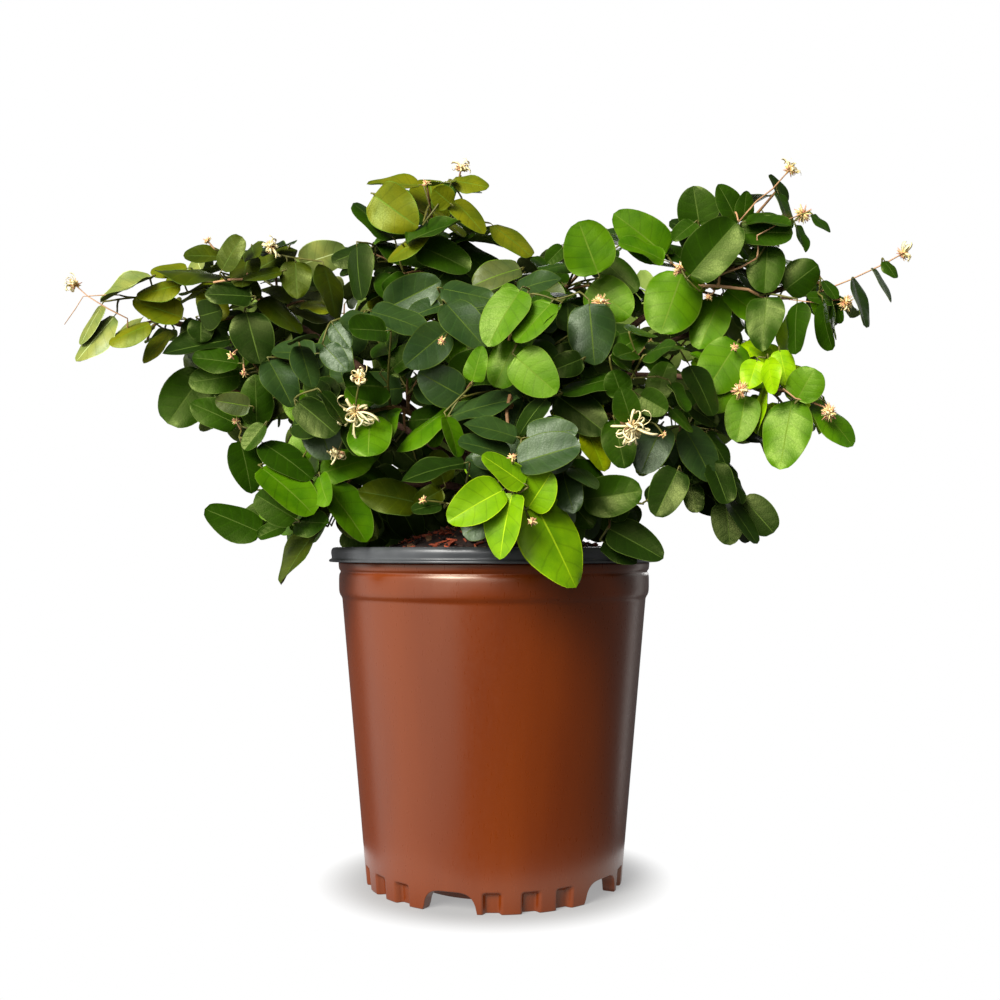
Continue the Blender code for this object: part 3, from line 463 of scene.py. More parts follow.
# Twigs
FIRST_SEED = 2000
STEM_LEAVES = 12
BRANCH_LEAVES = 9
SIDE_LEAVES = 5
NODE_SWELL = 0.16
PAST_LAST_LEAF = 0.03
STEM_END = 0.70
STEM_DEPTH = 3 * MM
STEM_STEPS = 8
TWIG_STEPS = 6
TWIG_SIDES = 5
TWIG_TIP_RADIUS = 0.55 * MM
TWIG_GIRTH = 0.62
TWIGS_PER_MASS = 9
TWIG_REACH = 0.82
TWIG_LAG = 0.45
TWIG_FEET = (0.12, 0.85)
TWIG_LEAN = 0.5
TWIG_LEAST = 14 * MM
TWIG_SHORTENS = 0.12
TWIG_ROOM = 2.0 * MM
SIDE_SHARES = (0.34, 0.58, 0.80)
SIDE_LENGTHS = (22 * MM, 40 * MM)
SIDE_ANGLE_DEG = 46
GOLDEN_TURN = math.radians(137.508)
SCALE_RADIUS = 0.62 * MM

# How a further twig finds the wood that it springs from
WOOD_STEP = 3 * MM
REACH_COST = 1.3
AHEAD_SAVES = 0.35
BACKWARD_COST = 1.2
TWIG_FINE_RADIUS = 0.8 * MM
TWIG_REUSED = 4 * MM
YOUNG_TWIG_RADIUS = 0.9 * MM
OPEN_AIR = 130 * MM

# Leaves
LEAF_LENGTHS = (28 * MM, 44 * MM)
LEAF_ASPECTS = (0.68, 0.84)
LEAF_BENDS = (0.1, 0.5)
PLACED_BENDS = (0.08, 0.35)
PLACED_SHIFTS = (0, -3, 3, -6, 6, -9, 9, -12, 12)
LEAF_SPACING = 12 * MM
LEAF_FIRST = 7 * MM
LEAF_TRIES = 12
LEAF_SHRINKS = 0.025
LEAF_ANGLE_DEG = 58
LEAF_SPREAD_DEG = 14
LEAF_SPREAD_STEP_DEG = 5
LEAF_HANG = (0.1, 0.45)
LEAF_TILT = 0.38
LEAF_OVERHANG = 1.2
LEAF_CROSSES = -10 * MM  # how far a leaf may reach over the side of its space
PETIOLE = 2.6 * MM
PETIOLE_RADIUS = 0.45 * MM
FACING_PLANE = 20 * MM
FACING_HEIGHT = 300 * MM
FACING_WEIGHTS = (0.4, 1.8, 0.7)
FACING_UP = 0.4
NEAR_LEAVES = 46 * MM
KEPT_SHARE = 0.36
MIX_DEPTH = -60 * MM
PLACED_ASPECT = 0.68
PAINTED_SHADE_LEAF_WIDTH = 26
BOX_MARGIN = 8 * MM

# The floor: how much light it reflects and gives, near the pot and far from it. Its glow is low at the pot's
# foot, a painted contact shadow, and even white far from it
FLOOR_SIDES = 128
FLOOR_RADIUS = 0.14
FLOOR_NEAR = 0.086
FLOOR_FAR = 0.134
FLOOR_ALBEDO = (0.16, 0.05)
FLOOR_GLOW_AND_PAINTED_SHADOW = (0.34, 1.0)

# The leaf's mesh: across, a pale edge and rib, and along, a vein of two rows and the crest between two veins
LEAF_VEINS = 6
LEAF_ROWS = 3 * LEAF_VEINS + 1
LEAF_COLUMNS = (-1, -0.965, -0.5, -0.028, 0.028, 0.5, 0.965, 1)
RIB_STRIP = 3
VEIN_HALF = 0.008
CREST = 0.5 * MM
LEAF_SKEW = 0.85
LEAF_THICKNESS = 0.35 * MM
LEAF_FOLDS = (-0.06, 0.30)
LEAF_CUPS = (-0.30, 0.10)
LEAF_TWISTS = (-0.25, 0.25)
LEAF_WAVES = (0.0, 0.07)
LEAF_SHOULDERS = (0.42, 0.54)
LEAF_POINTS = (0.38, 0.60)
LEAF_UNEVEN = (0.0, 0.06)
PROXY_FOLD = 0.06
PROXY_OUTLINE = ((0.28, 0.47), (0.74, 0.44))
PROXY_FACES = [(i, (i + 1) % 6, 6) for i in range(6)] + [((i + 1) % 6, i, 7) for i in range(6)]


class Pieces:
    """Vertices and faces of many small things on their way into one mesh."""

    def __init__(self):
        self.vertices = []
        self.faces = []
        self.slots = []

    def add(self, vertices, faces, slots=0):
        first = len(self.vertices)
        self.vertices.extend(vertices)
        self.faces.extend([tuple(first + i for i in face) for face in faces])
        self.slots.extend([slots] * len(faces) if isinstance(slots, int) else slots)

    def build(self, name, materials, smooth=True):
        mesh = bpy.data.meshes.new(name)
        mesh.from_pydata(self.vertices, [], self.faces)
        for material in materials:
            mesh.materials.append(material)
        mesh.polygons.foreach_set("material_index", self.slots)
        mesh.polygons.foreach_set("use_smooth", [smooth] * len(self.faces))
        mesh.update()
        piece = bpy.data.objects.new(name, mesh)
        bpy.context.scene.collection.objects.link(piece)
        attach(piece, "root")
        return piece


def bearing(degrees):
    """The level direction at an azimuth: 0 is the front, 90 the right."""
    angle = math.radians(degrees)
    return Vector((math.sin(angle), -math.cos(angle), 0))


def smooth_step(low, high, value):
    t = min(1, max(0, (value - low) / (high - low)))
    return t * t * (3 - 2 * t)


def curve_points(start, heading, arrival, end, steps):
    """Points on the smooth curve that leaves start along heading and reaches end along arrival."""
    reach = (end - start).length
    knee = start + heading * reach * KNEE
    wrist = end - arrival * reach * WRIST
    points = []
    for i in range(steps + 1):
        t = i / steps
        points.append(
            start * (1 - t) ** 3 + knee * 3 * t * (1 - t) ** 2 + wrist * 3 * t * t * (1 - t) + end * t ** 3
        )
    return points


class Limb:
    """A tapering limb: the points along its middle and the radius at each."""

    def __init__(self, points, radii):
        self.points = points
        self.radii = radii

    def at(self, share):
        """The point, direction and radius at a share of the limb's length."""
        lengths = [(b - a).length for a, b in zip(self.points, self.points[1:])]
        left = share * sum(lengths)
        for i, length in enumerate(lengths):
            if left <= length or i == len(lengths) - 1:
                t = left / length
                along = (self.points[i + 1] - self.points[i]).normalized()
                radius = self.radii[i] + (self.radii[i + 1] - self.radii[i]) * t
                return self.points[i].lerp(self.points[i + 1], t), along, radius
            left -= length

    def length(self):
        return sum((b - a).length for a, b in zip(self.points, self.points[1:]))

    def cut(self, share):
        """The part of the limb up to a share of its length."""
        end, _, radius = self.at(share)
        left = share * self.length()
        points = [self.points[0]]
        radii = [self.radii[0]]
        for i, point in enumerate(self.points[1:], 1):
            left -= (point - self.points[i - 1]).length
            if left <= 0:
                break
            points.append(point)
            radii.append(self.radii[i])
        return Limb(points + [end], radii + [radius])

    def scaled(self, factor):
        """The limb shrunk towards its foot."""
        return Limb([self.points[0].lerp(point, factor) for point in self.points], self.radii)


def tapering(foot, tip, steps):
    return [foot + (tip - foot) * i / steps for i in range(steps + 1)]


def frames(points):
    """A direction and two square ones at each point of a path, without twist."""
    side = None
    for i in range(len(points)):
        along = (points[min(i + 1, len(points) - 1)] - points[max(i - 1, 0)]).normalized()
        side = side or along.orthogonal()
        side = (side - along * side.dot(along)).normalized()
        yield along, side, along.cross(side)


def tube(points, radii, sides):
    """The closed tube along a path, as vertices and faces."""
    vertices = []
    for (_, side, up), point, radius in zip(frames(points), points, radii):
        for k in range(sides):
            angle = 2 * math.pi * k / sides
            vertices.append(point + (side * math.cos(angle) + up * math.sin(angle)) * radius)
    faces = ring_faces(len(points), sides)
    faces.append(tuple(reversed(range(sides))))
    faces.append(tuple(range(len(vertices) - sides, len(vertices))))
    return vertices, faces


def ring_faces(rings, sides):
    faces = []
    for i in range(rings - 1):
        for k in range(sides):
            j = (k + 1) % sides
            faces.append((i * sides + k, i * sides + j, (i + 1) * sides + j, (i + 1) * sides + k))
    return faces


def make_trunk():
    foot = Vector((0, 0, SOIL_TOP + CLEAR))
    points = []
    radii = []
    for i in range(TRUNK_RINGS + 1):
        t = (i / TRUNK_RINGS) ** 1.5
        points.append(foot + UP * TRUNK_HEIGHT * t + TRUNK_LEAN * t * t)
        taper = TRUNK_RADIUS + (TRUNK_TIP_RADIUS - TRUNK_RADIUS) * t
        radii.append(taper + FLARE * math.exp(-TRUNK_HEIGHT * t / FLARE_HEIGHT))
    return Limb(points, radii)


def shell_radius(sizes, direction):
    """How far a mass reaches from its middle in a direction."""
    return 1 / math.sqrt(sum((direction[i] / sizes[i]) ** 2 for i in range(3)))


class Space:
    """The room of one mass: an ellipsoid, cut flat where it meets each neighbour."""

    def __init__(self, middle, sizes):
        self.middle = Vector(middle) * MM
        self.sizes = Vector(sizes) * MM
        self.weight = (self.sizes.x * self.sizes.y * self.sizes.z) ** (2 / 3)
        self.others = []

    def depth(self, point):
        """How far inside the flat sides a point is."""
        own = (point - self.middle).length_squared - self.weight
        depth = 1.0
        for other in self.others:
            far = (point - other.middle).length_squared - other.weight
            depth = min(depth, (far - own) / (2 * (other.middle - self.middle).length))
        return depth

    def share(self, point):
        """0 in the middle, 1 on the ellipsoid."""
        away = point - self.middle
        return math.sqrt(sum((away[i] / self.sizes[i]) ** 2 for i in range(3)))

    def holds(self, point, margin, stretch=1.0):
        return self.share(point) <= stretch and self.depth(point) >= margin


def make_spaces():
    spaces = {name: Space(middle, sizes) for name, (_, _, middle, sizes) in MASSES.items()}
    for space in spaces.values():
        space.others = [other for other in spaces.values() if other is not space]
    return spaces


def grow_bough(parent, share, space):
    """A bough from its parent's flank, or tip, to the near side of its mass."""
    point, along, radius = parent.at(share)
    if share >= 1:
        start = point + along * CLEAR
        heading = along
    else:
        out = space.middle - point
        out = (out - along * out.dot(along)).normalized()
        start = point + out * (radius + FORK_CLEAR)
        heading = (out + along * FORK_LEAN).normalized()
    inward = (space.middle - start).normalized()
    entry = ENTRY
    tip = space.middle - inward * shell_radius(space.sizes, inward) * entry
    while space.depth(tip) < ENTRY_DEPTH and entry > ENTRY_STEP:
        entry -= ENTRY_STEP
        tip = space.middle - inward * shell_radius(space.sizes, inward) * entry
    arrival = (inward - UP * DROOP).normalized()
    points = curve_points(start, heading, arrival, tip, BOUGH_STEPS)
    length = (tip - start).length
    foot_radius = BOUGH_TIP_RADIUS + (BOUGH_GIRTH - BOUGH_TIP_RADIUS) * length / GIRTH_LENGTH
    foot_radius = min(foot_radius, radius * FORK_GIRTH)
    return Limb(points, tapering(foot_radius, BOUGH_TIP_RADIUS, BOUGH_STEPS))


def grow_limbs(spaces):
    limbs = {"trunk": make_trunk()}
    for name, (parent, share, _, _) in MASSES.items():
        limbs["bough_" + name] = grow_bough(limbs[parent], share, spaces[name])
    return limbs


def make_stem(name, bough, space):
    """The stem that carries a mass on from the tip of its bough, to its flower where it has one."""
    start, along, radius = bough.at(1)
    inward = (space.middle - start).normalized()
    if name in LEADERS:
        end = Vector(LEADERS[name]) * MM
    else:
        end = space.middle + inward * shell_radius(space.sizes, inward) * STEM_END
    while space.depth(end) < STEM_DEPTH:
        end = end.lerp(space.middle, 0.05)
    arrival = ((end - start).normalized() + UP * 0.1).normalized()
    points = curve_points(start, along, arrival, end, STEM_STEPS)
    return Limb(points, tapering(radius, TWIG_TIP_RADIUS, STEM_STEPS))


def twig_to(stem, target, rng):
    """A side twig from the part of the stem behind the place it reaches, and its share of the stem."""
    whole = stem.points[-1] - stem.points[0]
    ahead = (target - stem.points[0]).dot(whole.normalized()) / whole.length
    first, last = TWIG_FEET
    share = min(last, max(first, ahead - TWIG_LAG)) + rng.uniform(-0.05, 0.05)
    point, along, radius = stem.at(share)
    out = (target - point).normalized()
    heading = (out + along * TWIG_LEAN + UP * 0.1).normalized()
    arrival = (out - UP * DROOP).normalized()
    points = curve_points(point, heading, arrival, target, TWIG_STEPS)
    return Limb(points, tapering(radius * TWIG_GIRTH, TWIG_TIP_RADIUS, TWIG_STEPS)), share


def spread_target(space, index, count, rng):
    """A place for the end of a side twig. They spread evenly round the mass."""
    height = 1 - (2 * index + 1) / count
    turn = GOLDEN_TURN * index + rng.uniform(-0.3, 0.3)
    level = math.sqrt(1 - height * height)
    direction = Vector((level * math.cos(turn), level * math.sin(turn), height))
    return space.middle + direction * shell_radius(space.sizes, direction) * TWIG_REACH


def facing(point):
    """The way a leaf there likes to face: out from the middle plane of the crown, and up."""
    away = point - Vector((0, FACING_PLANE, FACING_HEIGHT))
    away = Vector([part * weight for part, weight in zip(away, FACING_WEIGHTS)])
    return (away.normalized() + UP * FACING_UP).normalized()


def side_shoots(twig, rng):
    """Short twigs from alternate sides of a twig, spread in the plane that its leaves face out of."""
    shoots = []
    sign = rng.choice((-1, 1))
    for share in SIDE_SHARES:
        point, along, radius = twig.at(share)
        across = along.cross(facing(point)).normalized() * sign
        angle = math.radians(SIDE_ANGLE_DEG + rng.uniform(-10, 10))
        heading = (along * math.cos(angle) + across * math.sin(angle)).normalized()
        end = point + (heading + along * 0.25 - UP * 0.12).normalized() * rng.uniform(*SIDE_LENGTHS)
        points = curve_points(point, heading, (along + heading - UP * DROOP).normalized(), end, TWIG_STEPS)
        shoots.append(Limb(points, tapering(radius * 0.8, TWIG_TIP_RADIUS, TWIG_STEPS)))
        sign = -sign
    return shoots


def mound_height(radius):
    """How high the potting mix or the lip stands at a distance from the axis."""
    if radius > MOUND[0][0] * MM:
        return LIP_TOP
    for (outer, low), (inner, high) in zip(MOUND, MOUND[1:]):
        if radius > inner * MM:
            share = (outer * MM - radius) / ((outer - inner) * MM)
            return max(low + (high - low) * share, LIP_TOP / MM) * MM
    return SOIL_TOP


def hidden_in_pot(point, room):
    radius = math.hypot(point.x, point.y)
    return radius < LIP_FLANGE_RADIUS + room and point.z < mound_height(radius) + room


def in_box(point):
    return all(cad_box[0][i] - BOX_MARGIN < point[i] < cad_box[1][i] + BOX_MARGIN for i in range(3))


def inside(polygon, points):
    """Which points of a plane are inside a polygon."""
    x = points[:, 0, None]
    z = points[:, 1, None]
    start = polygon.T
    end = np.roll(polygon, -1, axis=0).T
    spans = (start[1] > z) != (end[1] > z)
    rise = np.where(end[1] == start[1], 1, end[1] - start[1])
    crossing = start[0] + (z - start[1]) * (end[0] - start[0]) / rise
    return (spans & (x < crossing)).sum(axis=1) % 2 == 1


def edge_distance(polygon, points):
    """How far each point is from the nearest edge of a polygon."""
    along = np.roll(polygon, -1, axis=0) - polygon
    away = points[:, None, :] - polygon
    share = ((away * along).sum(axis=2) / ((along ** 2).sum(axis=1) + 1e-12)).clip(0, 1)
    return np.linalg.norm(away - share[..., None] * along, axis=2).min(axis=1)


class FrontView:
    """What the camera sees: the outline, its gaps, and the leaves that stand out, which nothing may hide."""

    def __init__(self):
        self.eye = np.array(EYE) * MM
        self.outline = np.array(OUTLINE) * MM
        sky = [(x * MM, z * MM, radius * MM, 1) for x, z, radius in SKY_GAPS]
        mix = [(x * MM, z * MM, radius * MM, MIX_DEPTH) for x, z, radius in MIX_GAPS]
        self.discs = np.array(sky + mix)

    def seen(self, points):
        """The points as seen in the plane through the pot's axis."""
        points = np.array(points)
        scale = self.eye[1] / (self.eye[1] - points[:, 1])
        return self.eye[::2] + (points[:, ::2] - self.eye[::2]) * scale[:, None]

    def keep(self, corners, width):
        """Nothing may hide the leaf with these corners from now on."""
        near = max(corner.y for corner in corners)
        middle = corners[6]
        spots = self.seen([corners[0].lerp(middle, 0.6), middle, corners[3].lerp(middle, 0.6)])
        radius = width * KEPT_SHARE
        self.discs = np.vstack([self.discs] + [(*spot, radius, near) for spot in spots])

    def allows(self, corners):
        """Whether a leaf keeps to the outline and hides nothing that has to show."""
        rim = self.seen(corners[:6])
        if not inside(self.outline, rim).all():
            return False
        discs = self.discs[self.discs[:, 3] > min(corner.y for corner in corners)]
        spots = discs[:, :2]
        return not (inside(rim, spots) | (edge_distance(rim, spots) < discs[:, 2])).any()

    def allows_twig(self, points):
        spots = self.seen(points)
        if not inside(self.outline, spots).all():
            return False
        for point, spot in zip(points, spots):
            discs = self.discs[self.discs[:, 3] > point.y]
            if (np.linalg.norm(discs[:, :2] - spot, axis=1) < discs[:, 2]).any():
                return False
        return True


def fitted_twig(twig, space, view):
    """The longest part of a twig that keeps to its space, off the pot and out of the open sky, or None."""
    while twig.length() > TWIG_LEAST:
        inside_space = all(space.depth(point) > TWIG_ROOM or i == 0 for i, point in enumerate(twig.points))
        off_pot = not any(hidden_in_pot(point, KEEP_OUT) for point in twig.points)
        if inside_space and off_pot and view.allows_twig(twig.points[1:]):
            return twig
        twig = twig.scaled(1 - TWIG_SHORTENS)
    return None


class Spray:
    """A twig, its leaves' tint and number, what is at its tip, and where on which twig it springs from."""

    def __init__(self, mass, twig, tint, most, tip="", parent=None, share=0.0):
        self.mass = mass
        self.twig = twig
        self.tint = tint
        self.most = most
        self.tip = tip
        self.parent = parent
        self.share = share
        self.used = 1.0 if tip else 0.0
        self.open_air = False


def grow_sprays(name, limbs, space, view, rng):
    """Every leafy twig of one mass: its stem, then the twigs from the stem, each with its side shoots."""
    tints = TINTS_OF[name]
    stem = make_stem(name, limbs["bough_" + name], space)
    stem = Spray(name, stem, tints[-1], STEM_LEAVES, FLOWERS.get(name, ""))
    sprays = [stem]
    for i in range(TWIGS_PER_MASS):
        twig, share = twig_to(stem.twig, spread_target(space, i, TWIGS_PER_MASS, rng), rng)
        twig = fitted_twig(twig, space, view)
        if twig is None:
            continue
        branch = Spray(name, twig, rng.choice(tints), BRANCH_LEAVES, "", stem, share)
        sprays.append(branch)
        for side, at in zip(side_shoots(twig, rng), SIDE_SHARES):
            side = fitted_twig(side, space, view)
            if side:
                sprays.append(Spray(name, side, branch.tint, SIDE_LEAVES, "", branch, at))
    return sprays


class Wood:
    """Places on the limbs and twigs that a further twig can spring from."""

    def __init__(self):
        self.points = []
        self.ways = []
        self.radii = []
        self.owners = []

    def add(self, limb, spray=None):
        steps = max(2, int(limb.length() / WOOD_STEP))
        for i in range(1, steps + 1):
            point, along, radius = limb.at(i / steps)
            self.points.append(point)
            self.ways.append(along)
            self.radii.append(radius)
            self.owners.append((spray, i / steps))

    def best(self, target):
        """The place for a twig to a target: close, behind it, and on a limb that already heads there."""
        away = np.array(target) - np.array(self.points)
        reach = np.linalg.norm(away, axis=1) + 1e-6
        ahead = (away * np.array(self.ways)).sum(axis=1) / reach
        cost = reach * (REACH_COST - AHEAD_SAVES * ahead) + BACKWARD_COST * np.maximum(0, away[:, 1])
        return int(cost.argmin())


def sprout(wood, sprays, mass, target, radius=TWIG_FINE_RADIUS, tip="", via=()):
    """Grows a twig from the best place on the wood to a target, unless one already passes there.

    Gives where the twig ends, and the tint of the spray that it belongs to.
    """
    first = via[0] if via else target
    best = wood.best(first)
    foot, along, foot_radius = wood.points[best], wood.ways[best], wood.radii[best]
    parent, share = wood.owners[best]
    tint = parent.tint if parent else TINTS_OF[mass][-1]
    if (target - foot).length < TWIG_REUSED and not tip and not via:
        if parent:
            parent.used = max(parent.used, share)
        return foot, tint
    out = (first - foot).normalized()
    heading = (out + along * TWIG_LEAN).normalized()
    points = curve_points(foot, heading, out, first, TWIG_STEPS)
    points += list(via[1:]) + ([target] if via else [])
    thick = radius if via else min(radius, foot_radius * 1.1)
    radii = tapering(thick, TWIG_TIP_RADIUS if not via else thick * 0.6, len(points) - 1)
    spray = Spray(mass, Limb(points, radii), tint, 0, tip, parent, share)
    spray.used = 1.0
    spray.open_air = abs(target.x) > OPEN_AIR and bool(via or tip)
    sprays.append(spray)
    wood.add(spray.twig, spray)
    return target, tint


def leaf_proxy(root, axis, normal, length, width):
    """Six corners round the rim, from the root clockwise, then the top and the bottom of the middle."""
    side = axis.cross(normal)
    (low, low_half), (high, high_half) = PROXY_OUTLINE
    fold = PROXY_FOLD * width
    return [
        root,
        root + axis * length * low + side * width * low_half + normal * fold,
        root + axis * length * high + side * width * high_half + normal * fold,
        root + axis * length - normal * 0.05 * length,
        root + axis * length * high - side * width * high_half + normal * fold,
        root + axis * length * low - side * width * low_half + normal * fold,
        root + axis * length * 0.5 + normal * 0.6 * MM,
        root + axis * length * 0.5 - normal * 0.6 * MM,
    ]


def leaf_places(twig, most):
    """Where leaves may sit, as (share, side): one at a twig's tip, then alternate ones to its foot."""
    length = twig.length()
    places = [(1, 0)]
    back = LEAF_SPACING * 0.6
    sign = 1
    while back < length - LEAF_FIRST and len(places) < most:
        places.append((1 - back / length, sign))
        sign = -sign
        back += LEAF_SPACING
    return places


class Crown:
    """The leaves that have found their place, and what a further one has to keep clear of."""

    def __init__(self):
        self.wood = None
        self.leaves = []
        self.middles = np.empty((0, 3))
        self.trees = []

    def is_free(self, corners):
        tree = BVHTree.FromPolygons(corners, PROXY_FACES)
        if self.wood and tree.overlap(self.wood):
            return None
        if self.trees:
            middle = np.array(corners[6])
            near = np.nonzero(((self.middles - middle) ** 2).sum(axis=1) < NEAR_LEAVES ** 2)[0]
            if any(tree.overlap(self.trees[i]) for i in near):
                return None
        return tree

    def keep(self, leaf, corners, tree):
        self.leaves.append(leaf)
        self.middles = np.vstack([self.middles, np.array(corners[6])])
        self.trees.append(tree)


def fit_leaf(crown, view, spray, space, share, side_sign, rng):
    """Puts a leaf at a share of a twig where it keeps to its space, hides nothing and touches nothing."""
    point, along, radius = spray.twig.at(share)
    for attempt in range(LEAF_TRIES):
        jitter = Vector([rng.uniform(-LEAF_TILT, LEAF_TILT) for _ in range(3)])
        normal = (facing(point) + jitter).normalized()
        across = along.cross(normal).normalized() * (side_sign or 1)
        spread = LEAF_SPREAD_DEG + LEAF_SPREAD_STEP_DEG * attempt
        angle = math.radians(LEAF_ANGLE_DEG * abs(side_sign) + rng.uniform(-spread, spread))
        axis = along * math.cos(angle) + across * math.sin(angle) - UP * rng.uniform(*LEAF_HANG)
        axis = axis.normalized()
        normal = (normal - axis * normal.dot(axis)).normalized()
        length = rng.uniform(*LEAF_LENGTHS) * (1 - LEAF_SHRINKS * attempt)
        width = length * rng.uniform(*LEAF_ASPECTS)
        root = point + axis * (radius + PETIOLE)
        corners = leaf_proxy(root, axis, normal, length, width)
        if not all(space.holds(corner, LEAF_CROSSES, LEAF_OVERHANG) and in_box(corner) for corner in corners):
            continue
        if any(hidden_in_pot(corner, KEEP_OUT) for corner in corners) or not view.allows(corners):
            continue
        tree = crown.is_free(corners)
        if tree:
            bend = rng.uniform(*LEAF_BENDS)
            leaf = Leaf(spray.mass, spray.tint, root, axis, normal, length, width, bend, rng)
            leaf.foot = point
            crown.keep(leaf, corners, tree)
            spray.used = max(spray.used, share)
            return


def home(spaces, point):
    """The mass that a point belongs to."""
    return min(spaces, key=lambda name: spaces[name].share(point))


def place_leaf(crown, view, spaces, tint, row, rng, kept=True):
    """Puts a leaf that stands out in its place, moved along the line of sight if it would touch another."""
    root = Vector(row[:3]) * MM
    tip = Vector(row[3:6]) * MM
    sight = (Vector(EYE) * MM - (root + tip) / 2).normalized()
    chord = (tip - root).length
    axis = (tip - root).normalized()
    normal = (sight - axis * sight.dot(axis)).normalized()
    side = axis.cross(normal)
    width = max(row[6] * MM, PLACED_ASPECT * chord)
    turn = math.acos(row[6] * MM / width) * (1 if side.z > -0.2 else -1)
    normal = (normal * math.cos(turn) + side * math.sin(turn)).normalized()
    bend = rng.uniform(*PLACED_BENDS)
    axis, normal = (
        axis * math.cos(bend / 2) + normal * math.sin(bend / 2),
        normal * math.cos(bend / 2) - axis * math.sin(bend / 2),
    )
    length = chord * (bend / 2) / math.sin(bend / 2)
    for shift in PLACED_SHIFTS:
        moved = root + sight * shift * MM
        corners = leaf_proxy(moved, axis, normal, length, width)
        tree = crown.is_free(corners)
        if tree:
            break
    leaf = Leaf(home(spaces, (root + tip) / 2), tint, moved, axis, normal, length, width, bend, rng)
    crown.keep(leaf, corners, tree or BVHTree.FromPolygons(corners, PROXY_FACES))
    if kept:
        view.keep(corners, row[6] * MM)
    return leaf


class Leaf:
    """One leaf: its place, its size and the bends that make it unlike its neighbours."""

    def __init__(self, mass, tint, root, axis, normal, length, width, bend, rng):
        self.mass = mass
        self.tint = tint
        self.foot = root
        self.root = root
        self.frame = np.array([axis.cross(normal), axis, normal])
        self.length = length
        self.width = width
        self.bend = bend
        self.fold = rng.uniform(*LEAF_FOLDS)
        self.cup = rng.uniform(*LEAF_CUPS)
        self.twist = rng.uniform(*LEAF_TWISTS)
        self.wave = rng.uniform(*LEAF_WAVES)
        self.phase = rng.uniform(0, 6.28)
        self.shoulder = rng.uniform(*LEAF_SHOULDERS)
        self.point = rng.uniform(*LEAF_POINTS)
        self.uneven = rng.uniform(*LEAF_UNEVEN)


def leaf_faces():
    """The faces of a leaf, its upper sheet and then its lower one, and which part of the leaf each is."""
    columns = len(LEAF_COLUMNS)
    sheet = 2 + (LEAF_ROWS - 1) * columns
    faces = []
    parts = []
    for lower in (0, 1):
        first = lower * sheet
        for j in range(columns - 1):
            light = 1 if j in (0, RIB_STRIP, columns - 2) else 0
            strip = [(first, first + 2 + j + 1, first + 2 + j)]
            kinds = [light]
            for i in range(LEAF_ROWS - 2):
                a = first + 2 + i * columns + j
                strip.append((a, a + 1, a + columns + 1))
                strip.append((a, a + columns + 1, a + columns))
                kinds += [light or (3 if i % 3 == 1 else 0)] * 2
            last = first + 2 + (LEAF_ROWS - 2) * columns + j
            strip.append((first + 1, last, last + 1))
            kinds.append(light)
            if lower:
                strip = [tuple(reversed(face)) for face in strip]
                kinds = [2] * len(strip)
            faces += strip
            parts += kinds
    return faces, parts


def leaf_rows():
    """Where a leaf's rows are along it, and how far each is up from the veins to the crests between."""
    places = []
    lifts = []
    for vein in range(LEAF_VEINS):
        middle = (vein + 1) / (LEAF_VEINS + 1)
        places += [middle - 0.5 / (LEAF_VEINS + 1), middle - VEIN_HALF, middle + VEIN_HALF]
        lifts += [1, 0, 0]
    return np.array(places)[:, None], np.array(lifts)[:, None]


def leaf_vertices(leaf):
    """The vertices of one leaf, which is pleated along its side veins, folded, cupped and bent."""
    even, lifts = leaf_rows()
    across = np.array(LEAF_COLUMNS)[None, :]
    out = np.abs(across)
    share = even * 0.5 + (1 - np.cos(np.pi * even)) * 0.25
    share = share + LEAF_SKEW * out * share * (1 - share) * 0.9
    widest = leaf.shoulder / (leaf.shoulder + leaf.point)
    fullest = widest ** leaf.shoulder * (1 - widest) ** leaf.point
    half = leaf.width / 2 * share ** leaf.shoulder * (1 - share) ** leaf.point / fullest
    half = half * (1 + leaf.uneven * np.sin(5 * share + leaf.phase) * np.sign(across))
    x = across * half
    span = out * half
    pleat = lifts * CREST * np.sqrt(out) * (1.05 - out)
    z = leaf.fold * span + leaf.cup * span * span / (leaf.width / 2) + pleat
    z = z + leaf.wave * leaf.width * np.sin(9 * share + leaf.phase + 2 * across) * out ** 2
    z = z - np.where(out < 0.1, 0.25 * MM, 0)
    thickness = np.where(out > 0.99, 0, LEAF_THICKNESS) + np.where(out < 0.1, 0.45 * MM, 0) * (1 - share)
    ends = np.array([[0.0, 0.0, 0.0], [0.0, 1.0, 0.0]])
    sheets = []
    for drop in (0, thickness):
        sheet = np.stack([x, np.broadcast_to(share, x.shape), z - drop], axis=-1).reshape(-1, 3)
        sheets.append(np.vstack([ends, sheet]))
    flat = np.vstack(sheets)
    turn = leaf.twist * flat[:, 1]
    side = flat[:, 0] * np.cos(turn) - flat[:, 2] * np.sin(turn)
    lift = flat[:, 0] * np.sin(turn) + flat[:, 2] * np.cos(turn)
    bend = leaf.bend * flat[:, 1] ** 1.3
    radius = leaf.length / leaf.bend
    along = radius * np.sin(bend) + lift * np.sin(bend)
    up = radius * (np.cos(bend) - 1) + lift * np.cos(bend)
    bent = np.stack([side, along, up], axis=-1)
    return bent @ leaf.frame + np.array(leaf.root)


def place_leaves(crown, view, spaces):
    """The leaves that stand out, which have no tint as yet, then the ones inside, whose darkest tint is
    painted shade.
    """
    leaves = [place_leaf(crown, view, spaces, "", row, random.Random(str(row))) for row in PLACED]
    for row in PAINTED_SHADE_LEAVES:
        row = (*row, PAINTED_SHADE_LEAF_WIDTH)
        # The leaves inside take the darkest tint, as painted shade
        leaves.append(place_leaf(crown, view, spaces, "deep", row, random.Random(str(row)), kept=False))
    return leaves


def fit_leaves(sprays, spaces, crown, view):
    for spray in sprays:
        rng = random.Random(str(spray.twig.points[-1]))
        places = leaf_places(spray.twig, spray.most)
        if spray.tip:
            places = places[1:]
        for share, side_sign in places:
            fit_leaf(crown, view, spray, spaces[spray.mass], share, side_sign, rng)


